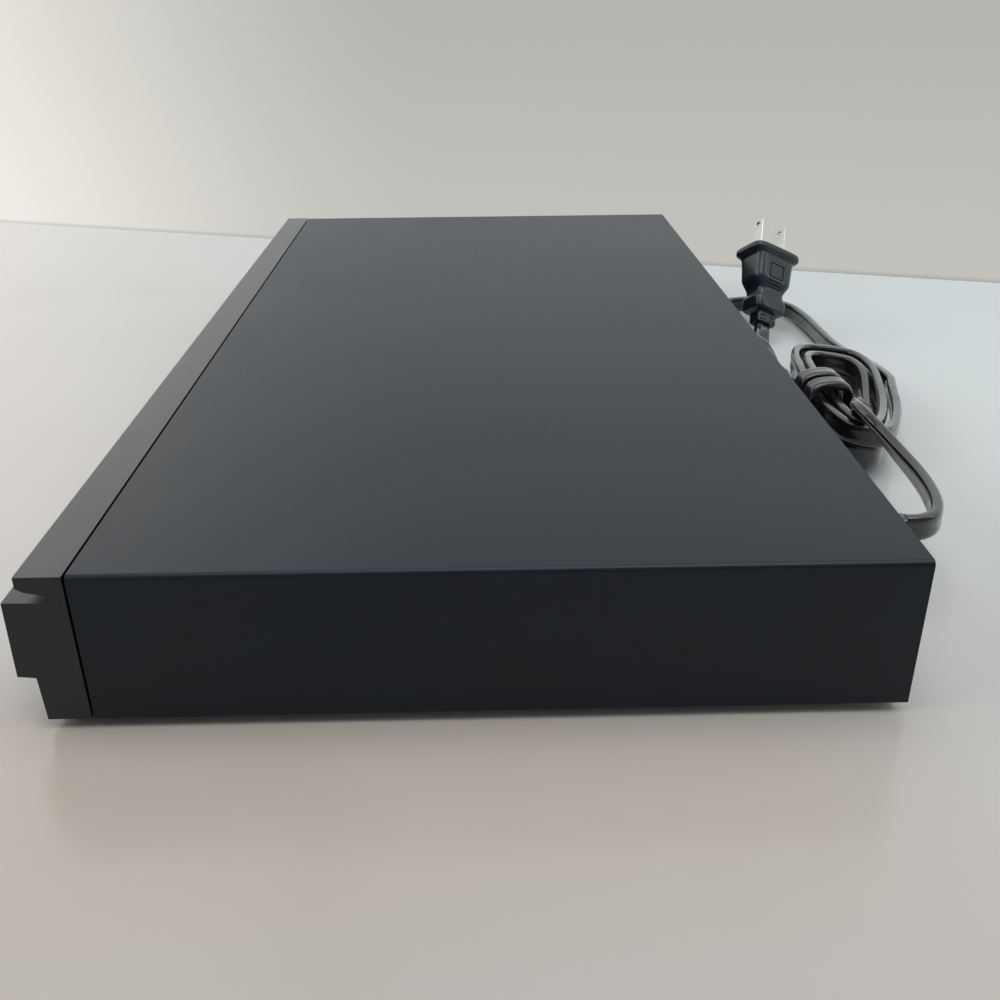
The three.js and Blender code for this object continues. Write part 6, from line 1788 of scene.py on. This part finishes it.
@dataclass
class Deck:
    """Traverse deck with the spindle, the pickup and its drive."""

    thread_pitch: float = 3
    thread_depth: float = 0.35
    thread_step: float = 0.25
    plain_end: float = 2

    def build(self) -> None:
        """Make the deck's pieces."""
        ease_node("traverse_deck", chassis_zinc, 0.14)
        ease_node("pickup_sled", inner_plastic, 0.3)
        self.make_spindle_motor()
        self.make_turntable()
        self.make_lens()
        for side in ("left", "right"):
            self.make_rod(f"guide_rod_{side}")
        self.make_sled_motor()
        self.make_lead_screw()

    def make_spindle_motor(self) -> None:
        """Make the flat spindle motor under the deck."""
        box = NodeBox("spindle_motor")
        wide, low, high = box.size.x / 2, box.low.z, box.high.z
        profile = [
            (0, low), (4, low), (4.4, low + 0.5), (wide - 1, low + 0.5), (wide, low + 1), (wide, high),
            (0, high)]
        turn_node(box, "spindle_motor_can", profile, motor_steel, 0.25, sides=64)

    def make_turntable(self) -> None:
        """Make the turntable: shaft, hub, seat with its rubber ring, and sprung centring cone."""
        box = NodeBox("turntable")
        wide, top, sides = box.size.x / 2, box.high.z, 72
        seat = top - 1.8
        profile = [
            (0, box.low.z), (1.5, box.low.z), (1.5, 15.6), (4, 15.6), (4, seat - 3), (wide, seat - 3),
            (wide, seat - 0.3), (8.6, seat - 0.3), (7.4, seat), (6.5, top), (3, top), (2.4, top - 0.5),
            (0, top - 0.5)]
        turn_node(box, "turntable_turned", profile, grey_plastic, 0.25, sides=sides)
        ring = [(9, seat - 0.29), (wide - 0.4, seat - 0.29), (wide - 0.5, seat), (9.2, seat)]
        pad = Mould()
        rings = []
        for side in range(sides):
            turn = Matrix.Rotation(FULL_TURN * side / sides, 3, "Z")
            rings.append([box.foot() + turn @ Vector((radius, 0, z)) for radius, z in ring])
        pad.loft(rings, disc_pad, looped=True)
        pad.piece("turntable_pad", slot="rubber", body="spindle")

    def make_lens(self) -> None:
        """Make the pickup lens: a clear dome in a small holder."""
        box = NodeBox("objective_lens")
        wide, low, high = box.size.x / 2, box.low.z, box.high.z
        holder = [
            (0, low), (wide, low), (wide, high - 0.7), (wide - 0.5, high - 0.4), (wide - 1, high - 0.6),
            (0, high - 0.6)]
        quarter = [math.pi / 2 * step / 9 for step in range(10)]
        dome = [((wide - 1) * math.cos(a), high - 0.6 + 0.58 * math.sin(a)) for a in quarter]
        glass = ClearCoated("lens_glass", (0.03, 0.05, 0.16), 0.04, middle=tuple(box.middle * MM))
        mould = Mould()
        mould.turned(box.foot(), eased_profile(holder, 0.1), inner_plastic)
        mould.turned(box.foot(), [(0, high - 0.62), *dome], glass)
        mould.piece("objective_lens_dome", box.node)

    def make_rod(self, node: str) -> None:
        """Make a ground steel guide rod with chamfered ends.

        Args:
            node: the rod's CAD node.
        """
        box = NodeBox(node)
        wide, low, high, chamfer = box.size.z / 2, box.low.y, box.high.y, 0.3
        profile = [
            (0, low), (wide - chamfer, low), (wide, low + chamfer), (wide, high - chamfer),
            (wide - chamfer, high), (0, high)]
        turn_node(box, f"{node}_ground", profile, bright_steel, 0, Axis.Y, 40)

    def make_sled_motor(self) -> None:
        """Make the motor of the lead screw: a small can with its end cap."""
        box = NodeBox("sled_motor")
        wide, low, high = box.size.z / 2, box.low.y, box.high.y
        profile = [
            (0, low), (1.2, low), (1.3, low + 0.3), (wide - 0.2, low + 0.3), (wide, low + 0.5),
            (wide, high - 1.6), (wide - 0.3, high - 1.5), (wide - 0.3, high), (0, high)]
        turn_node(box, "sled_motor_can", profile, motor_steel, 0.12, Axis.Y)

    def make_lead_screw(self) -> None:
        """Make the lead screw with its helical thread."""
        box = NodeBox("lead_screw")
        radius, sides = box.size.z / 2, 32
        count = round(box.size.y / self.thread_step)
        rings = []
        for step in range(count + 1):
            y = box.low.y + box.size.y * step / count
            edge = min(y - box.low.y, box.high.y - y)
            deep = self.thread_depth * min(max((edge - self.plain_end) / 0.6, 0), 1)
            ring = []
            for side in range(sides):
                angle = FULL_TURN * side / sides
                phase = (y / self.thread_pitch - side / sides) % 1
                reach = radius - deep * max(0.0, math.cos((phase - 0.5) * FULL_TURN)) ** 0.7
                ring.append(Vector((
                    box.middle.x + reach * math.cos(angle), y, box.middle.z + reach * math.sin(angle))))
            rings.append(ring)
        mould = Mould()
        mould.loft(rings, bright_steel)
        mould.piece("lead_screw_threaded", box.node, smooth=50)


@dataclass
class Electronics:
    """Main board and power board with what stands on them, sockets and inner cables."""

    board_thickness: float = 1.6
    seed: int = 11
    main_parts: int = 90
    power_parts: int = 26
    fuse_at: Pair = (118, 66)
    choke_at: Pair = (152, 55)
    cans: tuple[tuple[float, float, float, float], ...] = (
        (120, -14, 5, 16), (133, -18, 4, 12), (165, -20, 4, 12), (120, 6, 5, 14))
    kept_clear: tuple[tuple[Pair, Pair], ...] = (
        ((66, 24), (80, 60)), ((30, 18), (50, 28)), ((0, 38), (8, 58)))

    def build(self) -> None:
        """Make the boards' pieces."""
        self.make_main_board()
        ease_node("main_heatsink", sink_aluminium, 0.12)
        self.make_network_socket()
        self.make_video_socket()
        self.make_power_board()
        self.make_transformer()
        self.make_capacitor()
        self.make_drive_ribbon()
        self.make_power_leads()

    def make_main_board(self) -> None:
        """Make the main board with chips, sockets of the flat cables and small parts."""
        box = NodeBox("main_board")
        mould = Mould()
        mould.copy_node(box.node, board_green, 0.12)
        taken = [NodeBox(node) for node in ("main_heatsink", "lan_port", "hdmi_port")]
        taken = [*((one.low[:2], one.high[:2]) for one in taken), *self.kept_clear]
        parts = random.Random(self.seed)
        free = []
        while len(free) < self.main_parts:
            x = parts.uniform(box.low.x + 3, box.high.x - 3)
            y = parts.uniform(box.low.y + 3, box.high.y - 3)
            if not any(a[0] - 1 < x < b[0] + 1 and a[1] - 1 < y < b[1] + 1 for a, b in taken):
                free.append((x, y, box.low.z + self.board_thickness))
        for index, at in enumerate(free):
            if index % 15 == 0:
                self.add_can(mould, at, 2, 5)
            else:
                self.add_small_part(mould, at, index % 3 == 0)
        mould.piece("main_board_dressed", box.node)

    def add_small_part(self, mould: Mould, at: Point, tan: bool) -> None:
        """Add a chip resistor or capacitor with soldered ends.

        Args:
            mould: the board's mould.
            at: its middle, on the board.
            tan: whether it is tan, and not black.
        """
        x, y, z = at
        half = 0.6
        wide, end_wide = half / 1.5, half / 1.4
        finish = ceramic_tan if tan else chip_black
        mould.block((x - half, y - wide, z - 0.02), (x + half, y + wide, z + 0.6), finish)
        for end in (x - 1.3 * half, x + 1.3 * half):
            mould.block((end - 0.2, y - end_wide, z - 0.02),
                        (end + 0.2, y + end_wide, z + 0.63), solder, 0.06)

    def add_can(self, mould: Mould, at: Point, radius: float, height: float) -> None:
        """Add a small can capacitor on its plastic base.

        Args:
            mould: the board's mould.
            at: its middle, on the board.
            radius: half its base's side.
            height: its height.
        """
        x, y, z = at
        mould.block((x - radius, y - radius, z - 0.02), (x + radius, y + radius, z + 0.8), chip_black, 0.2)
        wide = 0.94 * radius
        profile = [
            (0, 0.8), (wide, 0.8), (wide, 1.4), (0.86 * radius, 1.6), (wide, 1.8), (wide, height),
            (0, height)]
        mould.turned(at, eased_profile(profile, 0.15), sink_aluminium, sides=28)

    def make_network_socket(self) -> None:
        """Make the network socket: a steel shell with eight sprung contacts inside."""
        box = NodeBox("lan_port")
        middle, back = box.middle, box.high.y
        mould = Mould()
        mould.copy_node(box.node, port_steel, 0.14)
        for x in spread(middle.x, 8, 1.02):
            bends = [(back - 12.6, 3.4), (back - 5, 3.3), (back - 4.2, 3.1), (back - 12, 1.2)]
            mould.tube([Vector((x, y, middle.z + z)) for y, z in bends], 0.22, contact_gold, 8)
        for x in (middle.x - 7.2, middle.x + 7.2):
            mould.block((x - 0.8, back - 0.35, box.low.z + 1), (x + 0.8, back - 0.02, box.low.z + 3.6),
                        window_gloss, 0.1)
        mould.piece("network_socket", box.node)

    def make_video_socket(self) -> None:
        """Make the video socket, with contacts on both sides of its tongue."""
        box = NodeBox("hdmi_port")
        mould = Mould()
        mould.copy_node(box.node, port_steel, 0.1)
        for x in spread(box.middle.x, 9, 1):
            for z in (box.middle.z - 0.62, box.middle.z + 0.62):
                mould.block((x - 0.22, box.low.y + 2, z - 0.06), (x + 0.22, box.high.y - 2.2, z + 0.06),
                            contact_gold)
        mould.piece("video_socket", box.node)

    def make_power_board(self) -> None:
        """Make the power board with its mains connector, fuse, choke and small parts."""
        box = NodeBox("power_board")
        top = box.low.z + self.board_thickness
        mould = Mould()
        mould.copy_node(box.node, board_brown, 0.12)
        self.add_fuse(mould, (*self.fuse_at, top))
        self.add_choke(mould, (*self.choke_at, top))
        for x, y, radius, height in self.cans:
            sleeve = Sleeve(
                f"sleeve_{x}_{y}", (0.012, 0.014, 0.02), 0.34, stripe_from=(x + 0.55 * radius) * MM)
            profile = [
                (0, 0), (radius, 0), (radius, 1.6), (0.93 * radius, 2), (radius, 2.4), (radius, height),
                (0.8 * radius, height), (0.78 * radius, height - 0.3), (0, height - 0.3)]
            mould.turned((x, y, top), eased_profile(profile, 0.3), sleeve, sides=36)
        parts = random.Random(self.seed + 1)
        for _ in range(self.power_parts):
            x = parts.uniform(box.low.x + 4, box.low.x + 9)
            y = parts.uniform(box.low.y + 4, box.high.y - 6)
            self.add_small_part(mould, (x, y, top), parts.random() < 0.4)
        mould.piece("power_board_dressed", box.node)

    def add_fuse(self, mould: Mould, at: Point) -> None:
        """Add a fuse between its two clips.

        Args:
            mould: the board's mould.
            at: its middle, on the board.
        """
        x, y, z = at
        profile = [(0, 0), (2.6, 0), (2.6, 5), (2.3, 5.1), (2.3, 15), (2.6, 15.1), (2.6, 20), (0, 20)]
        mould.turned((x, y - 10, z + 4), profile, ceramic_tan, Axis.Y, 28)
        for end in (y - 7.5, y + 7.5):
            mould.block((x - 3, end - 1.5, z - 0.05), (x + 3, end + 1.5, z + 3.4), port_steel, 0.4)

    def add_choke(self, mould: Mould, at: Point) -> None:
        """Add a choke: a ring core wound with copper wire.

        Args:
            mould: the board's mould.
            at: its middle, on the board.
        """
        ring, core, turns, steps = 7, 3.1, 16, 12
        centre = Vector(at) + Vector((0, 0, ring + core + 0.3))
        wire = []
        for step in range(turns * steps + 1):
            round_ring = math.radians(20 + 320 * step / (turns * steps))
            round_core = FULL_TURN * step / steps
            reach = ring + core * math.cos(round_core)
            wire.append(centre + Vector((
                core * math.sin(round_core), reach * math.cos(round_ring), reach * math.sin(round_ring))))
        mould.tube(wire, 0.45, copper_wire, 8)
        angles = [FULL_TURN * step / 40 for step in range(41)]
        path = [centre + ring * Vector((0, math.cos(a), math.sin(a))) for a in angles]
        mould.tube(path, core - 0.6, chip_black, 16)

    def make_transformer(self) -> None:
        """Make the transformer: ferrite core halves, wound bobbin under tape, and pins."""
        box = NodeBox("transformer")
        low, high, middle = box.low, box.high, box.middle
        mould = Mould()
        mould.block((middle.x - 3, low.y, low.z), (middle.x + 3, high.y, high.z), chip_black, 0.3)
        top, third = high.z - 3, box.size.y / 3
        for start in (low.x, high.x - 2.4):
            mould.block((start, middle.y - third, low.z), (start + 2.4, middle.y + third, top), acetal, 0.3)
        coil = oblong(2 * third - 2, top - low.z - 2, 0, 36, 0.4)
        mould.loft([
            [Vector((x, middle.y + point.x, (low.z + top) / 2 + point.y)) for point in coil]
            for x in (low.x + 2.3, high.x - 2.3)], tape_yellow)
        mould.piece("transformer_wound", box.node)

    def make_capacitor(self) -> None:
        """Make the mains capacitor: sleeved can with a crimped foot and a scored top."""
        box = NodeBox("mains_capacitor")
        wide, low, high = box.size.x / 2, box.low.z, box.high.z
        profile = [
            (0, low), (wide, low), (wide, low + 2), (wide - 0.5, low + 2.5), (wide, low + 3), (wide, high),
            (wide - 1.6, high), (wide - 1.8, high - 0.3), (0, high - 0.3)]
        stripe = (box.middle.x + 0.6 * wide) * MM
        sleeve = Sleeve("capacitor_sleeve", (0.011, 0.018, 0.054), 0.3, stripe_from=stripe)
        turn_node(box, "mains_capacitor_can", profile, sleeve, 0.5, sides=56)

    def make_drive_ribbon(self) -> None:
        """Lay the flat cable from the loader to the main board in a low arch."""
        box = NodeBox("drive_ribbon")
        knots = [
            (box.low.x + box.size.x * share,
             box.low.z + 0.2 + (box.size.z - 0.4) * math.sin(math.pi * share))
            for share in (0, 0.25, 0.5, 0.75, 1)]
        lay_ribbon("drive_cable", knots, (box.low.y, box.high.y), False, cable_drive, box.node)

    def make_power_leads(self) -> None:
        """Run the two leads from the strain relief down to the mains connector."""
        box = NodeBox("power_leads")
        low, high, middle = box.low, box.high, box.middle
        bends = [
            (high.y, 24), (high.y - 4, 24), (middle.y + 1, 22.6), (low.y + 1.6, 20.8), (low.y + 1.1, 18.4)]
        mould = Mould()
        for x, finish in ((middle.x - 1.1, wire_white), (middle.x + 1.1, wire_black)):
            knots = [Vector((x, y, z)) for y, z in bends]
            mould.tube(curve_through(knots, 6), 0.95, finish, 16)
        mould.piece("power_wires", box.node)


def main() -> None:
    """Build the studio and every sub-assembly."""
    logging.basicConfig(level=logging.INFO, format="%(message)s")
    Studio().build()
    MainsCord().build()
    Casing().build()
    FrontPanel().build()
    Loader().build()
    Deck().build()
    Electronics().build()


if __name__ == "__main__":
    main()
